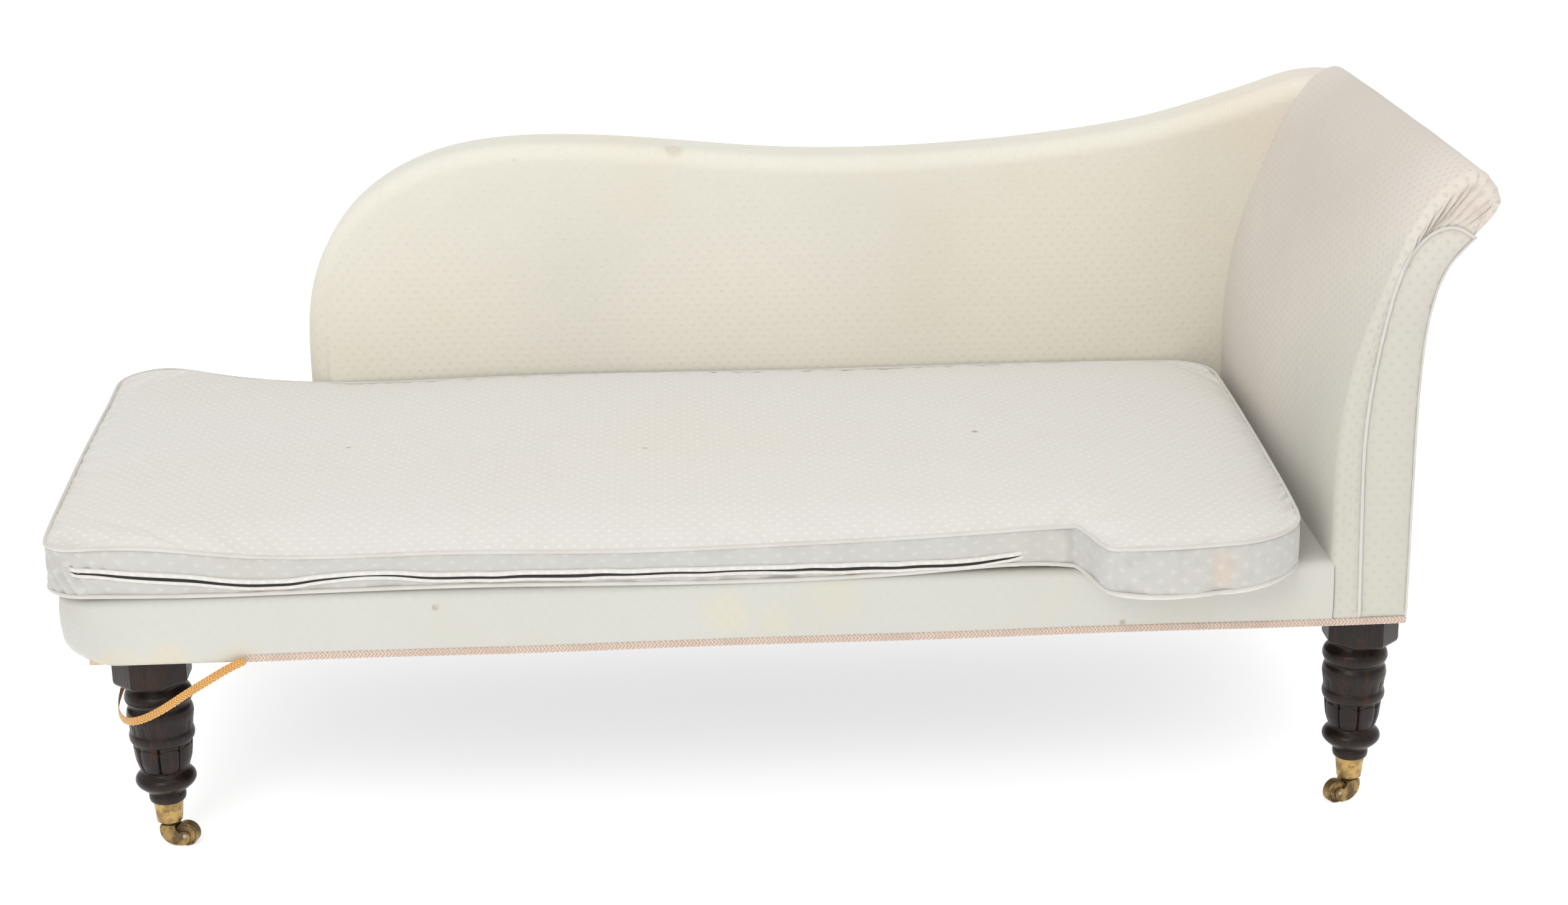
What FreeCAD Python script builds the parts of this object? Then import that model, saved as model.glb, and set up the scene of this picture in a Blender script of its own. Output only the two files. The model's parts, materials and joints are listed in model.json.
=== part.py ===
"""Fainting couch: one raised scroll arm, a serpentine back, turned legs on castors and a loose seat cushion.

Millimetres, +X towards the head end (the arm), +Y towards the back, +Z up.
The origin is on the floor, under the middle of the couch.
"""
import FreeCAD, Part
import math
import os
import Sketcher

Vector = FreeCAD.Vector

ARC_FIT = 0.05  # how closely tangent arcs follow a smooth outline
PIPING_SIDES = 6  # flat sides of the covered piping cords

# Driving sizes: name, millimetres (or a plain count or degrees), what it measures
SIZES = [
    ("couch_length", 1830, "foot of the cushion to the head tip of the back"),
    ("carcass_depth", 812, "front of the apron to the rear of the back"),
    ("apron_bottom", 270, "floor to the lower edge of the upholstery"),
    ("apron_height", 87, "lower edge of the upholstery to the deck"),
    ("foot_overhang", 38, "cushion past the apron at the foot"),
    ("cover_thick", 4, "top cover with its wadding"),
    ("cloth_gap", 0.3, "clearance between soft layers"),
    ("foot_corner", 60, "plan radius of the apron at the foot"),
    ("foot_roll", 30, "radius under the apron at the foot"),
    ("back_drop", 14, "peak of the back below the arm roll"),
    ("hump_drop", 78, "hump of the back below its peak"),
    ("dip_drop", 28, "dip of the back below its hump"),
    ("back_foot", 271, "foot end of the couch to the foot edge of the back"),
    ("back_thickness", 86, "padded thickness of the back"),
    ("back_shoulder", 28, "rounding along the front of the back's top edge"),
    ("arm_height", 857, "arm roll above the floor"),
    ("arm_reach", 199, "inside of the arm at the seat to the head tip of the back"),
    ("rail_thick", 28, "thickness of the beech rails"),
    ("rail_height", 60, "depth of the seat rails"),
    ("rail_set", 8, "seat rails behind the face of the apron"),
    ("stuffing_thick", 12, "hair stuffing on the arm"),
    ("web_width", 50, "width of the webbing"),
    ("web_thick", 1.6, "thickness of the webbing"),
    ("hessian_thick", 1, "thickness of the hessian"),
    ("stay_height", 40, "height of the tacking rails above the seat"),
    ("slat_width", 45, "width of the back slats"),
    ("crest_depth", 62, "depth of the serpentine crest rail"),
    ("brace_drop", 10, "seat braces below the top of the rails"),
    ("roll_rail_radius", 18, "round rail inside the arm roll"),
    ("leg_foot_set", 109, "leg axis from the foot of the apron"),
    ("leg_head_set", 47.5, "leg axis from the outside of the arm"),
    ("leg_set", 60, "leg axis behind the apron's face"),
    ("block_across", 92, "octagonal block of the leg across its flats"),
    ("block_offset", 5, "block off the leg's axis, towards the end"),
    ("block_drop", 42, "block below the rails"),
    ("block_chamfer", 4, "chamfer under the block"),
    ("tenon_radius", 14, "tenon at the top of the leg"),
    ("tenon_length", 45, "length of the leg's tenon"),
    ("corner_block", 64, "corner block along the side rail"),
    ("glue_gap", 0.15, "gap of a glued joint"),
    ("lappets", 8, "carved lappets round the leg"),
    ("lappet_groove", 2.4, "width of the groove between lappets"),
    ("lappet_depth", 2, "depth of the groove between lappets"),
    ("cup_height", 28, "height of the castor cup"),
    ("cup_wall", 2, "wall of the castor cup"),
    ("cup_top_radius", 19, "castor cup at its mouth"),
    ("cup_base_radius", 16, "castor cup at its base"),
    ("cup_floor", 4, "floor of the castor cup"),
    ("wheel_radius", 15.5, "castor wheel"),
    ("wheel_width", 15.6, "width of the castor wheel"),
    ("wheel_gap", 0.5, "castor wheel to each cheek of the horn"),
    ("horn_width", 23, "width of the castor horn"),
    ("castor_trail", 22, "axle behind the swivel axis"),
    ("castor_lift", 3, "castor cup above the top of the wheel"),
    ("horn_collar", 9.5, "radius of the horn's collar"),
    ("swivel_gap", 0.3, "horn below the cup"),
    ("swivel_radius", 4, "swivel pin"),
    ("swivel_depth", 10, "swivel pin below the cup"),
    ("axle_radius", 2.5, "castor axle"),
    ("running_gap", 0.05, "radial clearance of a running fit"),
    ("screw_radius", 1.5, "cup screw"),
    ("screw_head", 3.2, "head radius of the cup screw"),
    ("screw_length", 10, "cup screw below its head"),
    ("screw_drop", 12, "cup screw below the mouth of the cup"),
    ("cushion_edge", 59, "boxing of the loose cushion"),
    ("cushion_crown", 13, "rise of the cushion's top above its edge"),
    ("crown_run", 110, "how far in the crown rises"),
    ("cushion_back_gap", 10, "cushion to the back"),
    ("cushion_arm_gap", 20, "cushion to the arm"),
    ("extension_out", 106, "cushion past the apron's face at the head"),
    ("extension_width", 290, "width of that extension"),
    ("cushion_corner", 30, "corner radius at the foot of the cushion"),
    ("extension_corner", 55, "outer corner radius of the extension"),
    ("step_radius", 16, "radius where the extension leaves the front"),
    ("piping_radius", 2.5, "cushion piping"),
    ("slit_height", 2, "opening of the placket in the boxing"),
    ("slit_set", 60, "placket from the foot of the cushion"),
    ("slit_end", 60.4, "end of the placket to the step of the extension"),
    ("slit_rise", 11, "placket above the underside of the cushion"),
    ("trim_radius", 2, "piping on the arm's facing"),
    ("gimp_thick", 1.5, "thickness of the gimp braid"),
    ("gimp_width", 10, "width of the gimp braid"),
    ("gimp_torn", 232, "foot of the apron to where the gimp is torn"),
]

# Places worked out from the driving sizes; each may use the ones before it
PLACES = [
    ("front", "(sizes.extension_out - sizes.carcass_depth - sizes.gimp_thick) / 2"),
    ("back", "front + sizes.carcass_depth"),
    ("head", "sizes.couch_length / 2"),
    ("foot", "sizes.foot_overhang - head"),
    ("arm_in", "head - sizes.arm_reach"),
    ("arm_out", "arm_in + sizes.arm_reach / 2"),
    ("deck", "sizes.apron_bottom + sizes.apron_height"),
    ("back_face", "back - sizes.back_thickness"),
    ("back_foot_x", "sizes.back_foot - head"),
    ("peak", "sizes.arm_height - sizes.back_drop"),
    ("hump", "peak - sizes.hump_drop"),
    ("dip", "hump - sizes.dip_drop"),
    ("rail_base", "sizes.apron_bottom"),
    ("rail_top", "rail_base + sizes.rail_height"),
    ("rail_front", "front + sizes.rail_set"),
    ("rail_front_in", "rail_front + sizes.rail_thick"),
    ("rail_back", "back - sizes.rail_set"),
    ("rail_back_in", "rail_back - sizes.rail_thick"),
    ("foot_turn", "sizes.foot_corner - sqrt((sizes.foot_corner - sizes.cover_thick)^2"
                  " - (sizes.foot_corner - sizes.rail_set)^2)"),
    ("rail_foot", "foot + foot_turn + sizes.cloth_gap"),
    ("rail_foot_in", "rail_foot + sizes.rail_thick"),
    ("rail_head", "arm_out - sizes.cover_thick - sizes.cloth_gap"),
    ("rail_head_in", "rail_head - sizes.rail_thick"),
    ("leg_foot_x", "foot + sizes.leg_foot_set"),
    ("leg_head_x", "arm_out - sizes.leg_head_set"),
    ("leg_front_y", "front + sizes.leg_set"),
    ("leg_back_y", "back - sizes.leg_set"),
    ("block_base", "rail_base - sizes.block_drop"),
    ("cup_base", "2 * sizes.wheel_radius + sizes.castor_lift"),
    ("cup_mouth", "cup_base + sizes.cup_height"),
    ("web_z", "rail_top + sizes.cloth_gap"),
    ("hessian_z", "web_z + 3 * sizes.web_thick + sizes.cloth_gap"),
    ("seat_pad_z", "hessian_z + sizes.hessian_thick + sizes.cloth_gap"),
    ("seat_pad_top", "deck - sizes.cover_thick - sizes.cloth_gap"),
    ("web_y", "rail_back_in - sizes.cloth_gap"),
    ("stay_z", "deck + sizes.rail_set"),
    ("frame_inset", "sizes.cover_thick + sizes.stuffing_thick + sizes.web_thick + 3 * sizes.cloth_gap"),
    ("cushion_base", "deck + sizes.cloth_gap"),
    ("piping_out", "2 * sizes.piping_radius + sizes.cloth_gap"),
    ("cushion_foot", "piping_out - head"),
    ("cushion_head", "arm_in - sizes.cushion_arm_gap - piping_out"),
    ("cushion_back", "back_face - sizes.cushion_back_gap"),
    ("step", "cushion_head - sizes.extension_width"),
    ("cushion_out", "front - sizes.extension_out + piping_out"),
]

doc = FreeCAD.newDocument("fainting_couch")
sheet = doc.addObject("Spreadsheet::Sheet", "sizes")
for row, (alias, value, note) in enumerate(SIZES, 1):
    sheet.set(f"A{row}", note)
    sheet.set(f"B{row}", str(value))
    sheet.setAlias(f"B{row}", alias)
doc.recompute()
at = doc.addObject("App::VarSet", "places")
for place, formula in PLACES:
    at.addProperty("App::PropertyFloat", place)
    at.setExpression(place, formula)
doc.recompute()

nodes = []


def size(alias):
    """A driving size, as a number."""
    return float(sheet.get(alias))


def keep(thing, label):
    """Name a finished piece of the couch."""
    thing.Label = label
    nodes.append(thing)
    return thing


def origin_plane(body, role):
    return next(plane for plane in body.Origin.OriginFeatures if plane.Role == role)


def new_sketch(body, role, curves, offset=("0", "0", "0")):
    """A sketch on one of the body's own planes, moved by three expressions, holding the given curves."""
    sketch = body.newObject("Sketcher::SketchObject", body.Name + "_sketch")
    sketch.AttachmentSupport = [(origin_plane(body, role), "")]
    sketch.MapMode = "FlatFace"
    for axis, formula in zip("xyz", offset):
        sketch.setExpression(f"AttachmentOffset.Base.{axis}", formula)
    for curve in curves:
        sketch.addGeometry(curve, False)
    return sketch


def add_pad(body, sketch, length, backwards=False):
    pad = body.newObject("PartDesign::Pad", body.Name + "_pad")
    pad.Profile = sketch
    pad.Reversed = backwards
    pad.setExpression("Length", length)
    return pad


def cut_pocket(body, sketch, length, backwards=False, symmetric=False):
    pocket = body.newObject("PartDesign::Pocket", body.Name + "_pocket")
    pocket.Profile = sketch
    pocket.Reversed = backwards
    pocket.SideType = "Symmetric" if symmetric else "One side"
    pocket.setExpression("Length", length)
    return pocket


def spin(body, curves):
    """Turn a closed profile in the body's XZ plane about its Z axis."""
    sketch = new_sketch(body, "XZ_Plane", curves)
    turned = body.newObject("PartDesign::Revolution", body.Name + "_turned")
    turned.Profile = sketch
    turned.ReferenceAxis = (sketch, ["V_Axis"])
    turned.Angle = 360
    return turned


def flat(x, y):
    return Vector(x, y, 0)


def line(start, end):
    return Part.LineSegment(flat(*start), flat(*end))


def arc(start, middle, end):
    """An arc through three points, kept anticlockwise as a sketch wants it."""
    (ax, ay), (bx, by), (cx, cy) = start, middle, end
    if (bx - ax) * (cy - ay) - (by - ay) * (cx - ax) < 0:
        start, end = end, start
    return Part.ArcOfCircle(flat(*start), flat(*middle), flat(*end))


def paces(points):
    """Distance travelled along a line of points at each of them."""
    travelled = [0.0]
    for (ax, ay), (bx, by) in zip(points, points[1:]):
        travelled.append(travelled[-1] + math.hypot(bx - ax, by - ay))
    return travelled


def spline(points, like=None):
    """A smooth curve through points; it may keep the pace of the line that its points were moved from."""
    curve = Part.BSplineCurve()
    curve.interpolate(Points=[flat(*point) for point in points], Parameters=paces(like or points))
    return curve


def polygon(points):
    return [line(a, b) for a, b in zip(points, points[1:] + points[:1])]


def arcs(curve):
    """A smooth curve drawn as tangent arcs, which lie within a set distance of it."""
    pieces = []
    for piece in curve.toBiArcs(ARC_FIT):
        middle = piece.value((piece.FirstParameter + piece.LastParameter) / 2)
        start, halfway, end = [(point.x, point.y) for point in (piece.StartPoint, middle, piece.EndPoint)]
        bow = math.hypot(halfway[0] - (start[0] + end[0]) / 2, halfway[1] - (start[1] + end[1]) / 2)
        pieces.append(arc(start, halfway, end) if bow > ARC_FIT / 5 else line(start, end))
    return pieces


def band(outer, inner, drawn=arcs):
    """The closed outline between two curves that run the same way, drawn as arcs unless told otherwise."""
    ends = [Part.LineSegment(outer.EndPoint, inner.EndPoint), Part.LineSegment(inner.StartPoint, outer.StartPoint)]
    return drawn(outer) + [ends[0]] + drawn(inner) + [ends[1]]


def inset(points, depths):
    """The points of a smooth line moved to its right by a depth each."""
    curve = spline(points)
    moved = []
    for point, depth in zip(points, depths):
        along = curve.tangent(curve.parameter(flat(*point)))[0]
        moved.append((point[0] + along.y * depth, point[1] - along.x * depth))
    return moved


def bar(label, corner, run):
    """A planed bar: a rectangle in plan, padded upwards. Corner and run are three expressions each."""
    body = doc.addObject("PartDesign::Body", label)
    ends = [(0, 0), (10, 0), (10, 10), (0, 10)]
    sketch = new_sketch(body, "XY_Plane", polygon(ends), corner)
    for side in range(4):
        sketch.addConstraint(Sketcher.Constraint("Coincident", side, 2, (side + 1) % 4, 1))
    for side in (0, 2):
        sketch.addConstraint(Sketcher.Constraint("Horizontal", side))
        sketch.addConstraint(Sketcher.Constraint("Vertical", side + 1))
    sketch.addConstraint(Sketcher.Constraint("Coincident", 0, 1, -1, 1))
    for name, kind, side, formula in (("across", "DistanceX", 0, run[0]), ("deep", "DistanceY", 1, run[1])):
        place = sketch.addConstraint(Sketcher.Constraint(kind, side, 1, side, 2, 10))
        sketch.renameConstraint(place, name)
        sketch.setExpression(f"Constraints.{name}", formula)
    add_pad(body, sketch, run[2])
    return keep(body, label)


def slab(label, curves, start, length):
    """An outline drawn in X and Z, padded along Y from a start."""
    body = doc.addObject("PartDesign::Body", label)
    sketch = new_sketch(body, "XZ_Plane", curves, ("0", "0", f"-({start})"))
    add_pad(body, sketch, length, backwards=True)
    return keep(body, label)


def plate(label, curves, start, length):
    """An outline drawn in X and Y, padded up Z from a start."""
    body = doc.addObject("PartDesign::Body", label)
    sketch = new_sketch(body, "XY_Plane", curves, ("0", "0", start))
    add_pad(body, sketch, length)
    return keep(body, label)


def box(name, corner, run):
    """A box for a boolean, with three expressions for its corner and three for its run."""
    solid = doc.addObject("Part::Box", name)
    for axis, formula in zip("xyz", corner):
        solid.setExpression(f"Placement.Base.{axis}", formula)
    for side, formula in zip(("Length", "Width", "Height"), run):
        solid.setExpression(side, formula)
    return solid


def cut(name, base, tool):
    solid = doc.addObject("Part::Cut", name)
    solid.Base = base
    solid.Tool = tool
    return solid


def group(label, parts):
    """Several like pieces kept together as one node."""
    bundle = doc.addObject("Part::Compound", label)
    bundle.Links = parts
    return keep(bundle, label)


def shaped(label, shape):
    """A piece whose shape is worked out from the sheet's sizes."""
    feature = doc.addObject("Part::Feature", label)
    feature.Shape = shape
    return keep(feature, label)


# Outlines of the arm and of the back

ARM_SHARES = [  # share of the reach towards the head, share of the rise from the apron's lower edge
    (0.000, 0.000), (0.000, 0.170), (0.000, 0.345), (0.035, 0.492), (0.130, 0.637),
    (0.302, 0.795), (0.472, 0.915), (0.653, 0.980), (0.800, 1.000), (0.925, 0.965),
    (0.960, 0.930), (0.900, 0.893), (0.800, 0.858), (0.650, 0.800), (0.565, 0.725),
    (0.513, 0.590), (0.500, 0.430), (0.500, 0.250), (0.500, 0.000),
]
DECK_END = 1.2  # where the inside cover meets the seat, in points of that outline and shares between them
ROLL_END = 12  # the point of that outline where the inside cover ends under the roll
TIP = 10  # the point at the tip of the roll
FACING_SHARES = [
    (0.196, 0.000), (0.176, 0.290), (0.176, 0.433), (0.221, 0.584), (0.286, 0.705),
    (0.387, 0.813), (0.513, 0.867), (0.668, 0.882),
]
SWEEP_POWER = 2.35  # of the rounded foot end of the back, where 2 is an ellipse
SWEEP_DROP = 306  # the rounded foot end starts this far below the hump
SWEEP_RUN = 352  # and the hump is this far from the foot edge of the back
DIP_RUN = 435  # hump to dip along the couch
TIP_DROP = 23  # head tip of the back below its peak
PEAK_SET = 51  # peak of the back from its head tip
RISE = [(0.25, 0.05), (0.51, 0.22), (0.64, 0.37), (0.77, 0.61), (0.86, 0.80), (0.93, 0.95)]


def arm_point(share):
    """A point of the arm in X and Z."""
    rise = size("arm_height") - size("apron_bottom")
    return at.arm_in + share[0] * size("arm_reach"), size("apron_bottom") + share[1] * rise


def back_line():
    """The back's edge from its foot, over the hump, the dip and the peak, to its head tip."""
    foot_x, hump, dip, peak = at.back_foot_x, at.hump, at.dip, at.peak
    centre_z = hump - SWEEP_DROP
    points = [(foot_x, at.deck + size("cloth_gap")), (foot_x, (at.deck + centre_z) / 2)]
    for degrees in (0, 14, 28, 42, 56, 72):
        turn = math.radians(degrees)
        points.append((
            foot_x + SWEEP_RUN * (1 - math.cos(turn) ** (2 / SWEEP_POWER)),
            centre_z + SWEEP_DROP * math.sin(turn) ** (2 / SWEEP_POWER),
        ))
    hump_x = foot_x + SWEEP_RUN
    for share in (0, 0.25, 0.5, 0.75, 1):
        wave = (1 + math.cos(math.pi * share)) / 2
        points.append((hump_x + share * DIP_RUN, dip + (hump - dip) * wave))
    dip_x, peak_x = hump_x + DIP_RUN, at.head - PEAK_SET
    for share, lift in RISE + [(1, 1)]:
        points.append((dip_x + share * (peak_x - dip_x), dip + lift * (peak - dip)))
    points.append((at.head - PEAK_SET / 2, peak - 0.2 * TIP_DROP))
    points.append((at.head, peak - TIP_DROP))
    return points


arm_line = [arm_point(share) for share in ARM_SHARES]
facing_line = [arm_point(share) for share in FACING_SHARES] + [arm_line[ROLL_END]]
back_edge = back_line()


def between(start, end, share):
    """A point on the way from one point to another."""
    return start[0] + (end[0] - start[0]) * share, start[1] + (end[1] - start[1]) * share


def on_edge(points, x):
    """Height of a line of points at a given X, between the two points beside it."""
    for (ax, az), (bx, bz) in zip(points, points[1:]):
        if ax <= x <= bx:
            return az + (bz - az) * (x - ax) / (bx - ax)
    raise ValueError("no height of the line at that place")


# Seat frame

SEAT = "places.rail_base"
HIGH = "sizes.rail_height"
BETWEEN_Y = "places.rail_back_in - places.rail_front_in"
BETWEEN_X = "places.rail_head - places.rail_foot"


def seat_frame():
    """Four beech rails butted at the corners, two braces and four bored corner blocks."""
    thick = "sizes.rail_thick"
    bar("front_rail", ("places.rail_foot", "places.rail_front", SEAT), (BETWEEN_X, thick, HIGH))
    bar("back_rail", ("places.rail_foot", "places.rail_back_in", SEAT), (BETWEEN_X, thick, HIGH))
    bar("foot_rail", ("places.rail_foot", "places.rail_front_in", SEAT), (thick, BETWEEN_Y, HIGH))
    bar("head_rail", ("places.rail_head_in", "places.rail_front_in", SEAT), (thick, BETWEEN_Y, HIGH))
    braces = []
    for number, share in enumerate((1 / 3, 2 / 3), 1):
        place = f"places.rail_foot_in + (places.rail_head_in - places.rail_foot_in) * {share:.4f}"
        braces.append(box(
            f"brace_{number}",
            (f"{place} - {thick} / 2", "places.rail_front_in", SEAT),
            (thick, BETWEEN_Y, f"{HIGH} - sizes.brace_drop"),
        ))
    group("seat_braces", braces)
    blocks = []
    for side, leg_x, inner, away in (
        ("foot", "places.leg_foot_x", "places.rail_foot_in", 1),
        ("head", "places.leg_head_x", "places.rail_head_in", -1),
    ):
        for row, leg_y, start in (
            ("front", "places.leg_front_y", "places.rail_front_in"),
            ("back", "places.leg_back_y", "places.rail_back_in - sizes.corner_block"),
        ):
            long = f"({leg_x} - {inner}) * {away} + sizes.tenon_radius * 2"
            corner_x = inner if away > 0 else f"{inner} - ({long})"
            solid = box(f"{row}_{side}_block", (corner_x, start, SEAT), (long, "sizes.corner_block", HIGH))
            bore = doc.addObject("Part::Cylinder", f"{row}_{side}_bore")
            bore.setExpression("Radius", "sizes.tenon_radius + sizes.glue_gap")
            bore.setExpression("Height", "sizes.tenon_length + sizes.glue_gap")
            for axis, formula in zip("xyz", (leg_x, leg_y, SEAT)):
                bore.setExpression(f"Placement.Base.{axis}", formula)
            blocks.append(cut(f"{row}_{side}_corner", solid, bore))
    group("corner_blocks", blocks)


# Legs

def leg_profile():
    """Half section of the turned leg, radius and height, from its end in the cup to its neck."""
    foot_z = at.cup_base + size("cup_floor") + 3
    mouth, neck = at.cup_mouth + size("glue_gap"), at.block_base
    slope = (size("cup_top_radius") - size("cup_base_radius")) / size("cup_height")
    inner = size("cup_base_radius") - size("cup_wall") - size("glue_gap")
    foot_r = inner + slope * (foot_z - at.cup_base)
    mouth_r = inner + slope * (mouth - at.cup_base)
    span = (neck - mouth) / 166  # the turning is drawn 166 mm tall and follows the leg's height

    def up(z):
        return mouth + z * span

    return [
        line((0, foot_z), (foot_r, foot_z)),
        line((foot_r, foot_z), (mouth_r, mouth)),
        line((mouth_r, mouth), (21, mouth)),
        line((21, mouth), (23.4, up(7))),
        line((23.4, up(7)), (21.4, up(13))),
        line((21.4, up(13)), (36.8, up(26.5))),
        arc((36.8, up(26.5)), (38.2, up(31)), (35.5, up(37.5))),
        line((35.5, up(37.5)), (29, up(43.5))),
        line((29, up(43.5)), (33.8, up(60))),
        line((33.8, up(60)), (35.7, up(80))),
        line((35.7, up(80)), (37.8, up(85.5))),
        arc((37.8, up(85.5)), (41, up(92.5)), (38.8, up(99.5))),
        line((38.8, up(99.5)), (41.2, up(114))),
        line((41.2, up(114)), (41.2, up(125))),
        line((41.2, up(125)), (37.4, up(134))),
        arc((37.4, up(134)), (42.6, up(145.5)), (36, up(157.5))),
        line((36, up(157.5)), (34, neck)),
        line((34, neck), (0, neck)),
        line((0, neck), (0, foot_z)),
    ], up


def octagon(centre, across):
    reach = across / 2 / math.cos(math.pi / 8)
    return [
        (centre + reach * math.cos(math.pi / 8 + turn * math.pi / 4),
         reach * math.sin(math.pi / 8 + turn * math.pi / 4))
        for turn in range(8)
    ]


def leg(row, side):
    """A turned leg with its block and tenon, and the bowl parted into lappets."""
    label = f"{row}_{side}_leg"
    offset = size("block_offset") * (-1 if side == "foot" else 1)
    profile, up = leg_profile()
    body = doc.addObject("PartDesign::Body", label)
    spin(body, profile)
    block = new_sketch(
        body, "XY_Plane", polygon(octagon(offset, size("block_across"))),
        ("0", "0", "places.block_base"),
    )
    pad = add_pad(body, block, "places.rail_base - places.block_base")
    doc.recompute()
    low = [
        f"Edge{number}" for number, edge in enumerate(pad.Shape.Edges, 1)
        if edge.Length > size("block_across") / 3
        and abs(edge.BoundBox.ZMax - at.block_base) < 0.01 and edge.BoundBox.ZLength < 0.01
        and "Line" in edge.Curve.TypeId
    ]
    chamfer = body.newObject("PartDesign::Chamfer", label + "_chamfer")
    chamfer.Base = (pad, low)
    chamfer.setExpression("Size", "sizes.block_chamfer")
    tenon = new_sketch(
        body, "XY_Plane", [Part.Circle(flat(0, 0), Vector(0, 0, 1), size("tenon_radius"))],
        ("0", "0", "places.rail_base"),
    )
    add_pad(body, tenon, "sizes.tenon_length")
    pilot = new_sketch(
        body, "XZ_Plane",
        [Part.Circle(
            flat(0, at.cup_mouth - size("screw_drop")), Vector(0, 0, 1),
            size("screw_radius") + size("glue_gap"),
        )],
    )
    cut_pocket(body, pilot, "4 * sizes.cup_top_radius", symmetric=True)
    deep = size("lappet_depth")
    groove = new_sketch(body, "XZ_Plane", polygon([
        (29.5 - deep, up(45.5)), (33.8 - deep, up(60)), (35.6 - deep, up(78)),
        (50, up(78)), (50, up(45.5)),
    ]))
    lappet = cut_pocket(body, groove, "sizes.lappet_groove", symmetric=True)
    pattern = body.newObject("PartDesign::PolarPattern", label + "_lappets")
    pattern.Originals = [lappet]
    pattern.Axis = (origin_plane(body, "Z_Axis"), [""])
    pattern.Angle = 360
    pattern.Occurrences = int(size("lappets"))
    body.Tip = pattern
    body.setExpression("Placement.Base.x", f"places.leg_{side}_x")
    body.setExpression("Placement.Base.y", f"places.leg_{row}_y")
    return keep(body, label)


# Castors

CASTORS = [  # row, side of the couch, degrees from +X that the castor trails at rest
    ("front", "foot", -12), ("front", "head", 205), ("back", "foot", 140), ("back", "head", 35),
]


def castor_place(body, row, side, degrees=None):
    if degrees is not None:
        body.Placement = FreeCAD.Placement(Vector(), FreeCAD.Rotation(Vector(0, 0, 1), degrees))
    body.setExpression("Placement.Base.x", f"places.leg_{side}_x")
    body.setExpression("Placement.Base.y", f"places.leg_{row}_y")


def cup(row, side):
    """A tapered brass cup that takes the end of the leg, with a floor bored for the swivel pin."""
    label = f"{row}_{side}_cup"
    body = doc.addObject("PartDesign::Body", label)
    base, mouth, wall = at.cup_base, at.cup_mouth, size("cup_wall")
    low, top, bore = size("cup_base_radius"), size("cup_top_radius"), size("swivel_radius")
    floor = base + size("cup_floor")
    inner = low - wall + (top - low) * size("cup_floor") / size("cup_height")
    spin(body, polygon([
        (bore, base), (low, base), (top, mouth), (top - wall, mouth), (inner, floor), (bore, floor),
    ]))
    hole = new_sketch(
        body, "XZ_Plane",
        [Part.Circle(flat(0, mouth - size("screw_drop")), Vector(0, 0, 1),
                     size("screw_radius") + size("glue_gap"))],
    )
    cut_pocket(body, hole, "4 * sizes.cup_top_radius", symmetric=True)
    castor_place(body, row, side)
    return keep(body, label)


def horn(row, side, degrees):
    """A curved brass horn: a crescent from the collar under the cup to the axle, slotted for the wheel."""
    label = f"{row}_{side}_horn"
    body = doc.addObject("PartDesign::Body", label)
    trail, centre = size("castor_trail"), size("wheel_radius")
    top = at.cup_base - size("swivel_gap")
    collar, shoulder = size("horn_collar"), top - 4.5
    crescent = [
        arc((-collar, shoulder), (-0.58 * collar, 0.64 * centre), (trail - 8, 2.6)),
        arc((trail - 8, 2.6), (trail + 3.5, 6.6), (trail + 6.6, centre)),
        arc((trail + 6.6, centre), (trail + 1, centre + 6.5), (trail - 5.5, centre + 4)),
        arc((trail - 5.5, centre + 4), (collar + 1.5, centre + 7.5), (collar, shoulder)),
        line((collar, shoulder), (-collar, shoulder)),
    ]
    side_view = new_sketch(body, "XZ_Plane", crescent)
    cheeks = body.newObject("PartDesign::Pad", label + "_cheeks")
    cheeks.Profile = side_view
    cheeks.SideType = "Symmetric"
    cheeks.setExpression("Length", "sizes.horn_width")
    ring = new_sketch(
        body, "XY_Plane", [Part.Circle(flat(0, 0), Vector(0, 0, 1), collar)], ("0", "0", f"{shoulder - 0.5:.3f}"),
    )
    add_pad(body, ring, f"{top - shoulder + 0.5:.3f}")
    slot = new_sketch(
        body, "XZ_Plane", [Part.Circle(flat(trail, centre), Vector(0, 0, 1), centre + 1.3)],
    )
    cut_pocket(body, slot, "sizes.wheel_width + 2 * sizes.wheel_gap", symmetric=True)
    pivot = new_sketch(
        body, "XY_Plane",
        [Part.Circle(flat(0, 0), Vector(0, 0, 1), size("swivel_radius") + size("running_gap"))],
        ("0", "0", "places.cup_base - sizes.swivel_gap"),
    )
    cut_pocket(body, pivot, "sizes.swivel_depth + 0.5")
    bore = new_sketch(
        body, "XZ_Plane", [Part.Circle(flat(trail, centre), Vector(0, 0, 1), size("axle_radius"))],
    )
    cut_pocket(body, bore, "2 * sizes.horn_width", symmetric=True)
    castor_place(body, row, side, degrees)
    return keep(body, label)


def wheel(row, side, degrees):
    """A brass wheel with a rounded tread and dished faces, bored to run on the axle."""
    label = f"{row}_{side}_wheel"
    body = doc.addObject("PartDesign::Body", label)
    rim, half = size("wheel_radius"), size("wheel_width") / 2
    bore = size("axle_radius") + size("running_gap")
    sketch = new_sketch(body, "XY_Plane", polygon([
        (bore, -half), (bore + 3, -half), (rim - 3.5, 1.6 - half), (rim - 1.5, 0.4 - half), (rim, 2 - half),
        (rim, half - 2), (rim - 1.5, half - 0.4), (rim - 3.5, half - 1.6), (bore + 3, half), (bore, half),
    ]), ("0", "0", "0"))
    turned = body.newObject("PartDesign::Revolution", label + "_turned")
    turned.Profile = sketch
    turned.ReferenceAxis = (sketch, ["V_Axis"])
    turned.Angle = 360
    place_on_axle(body, row, side, degrees)
    return keep(body, label)


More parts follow.
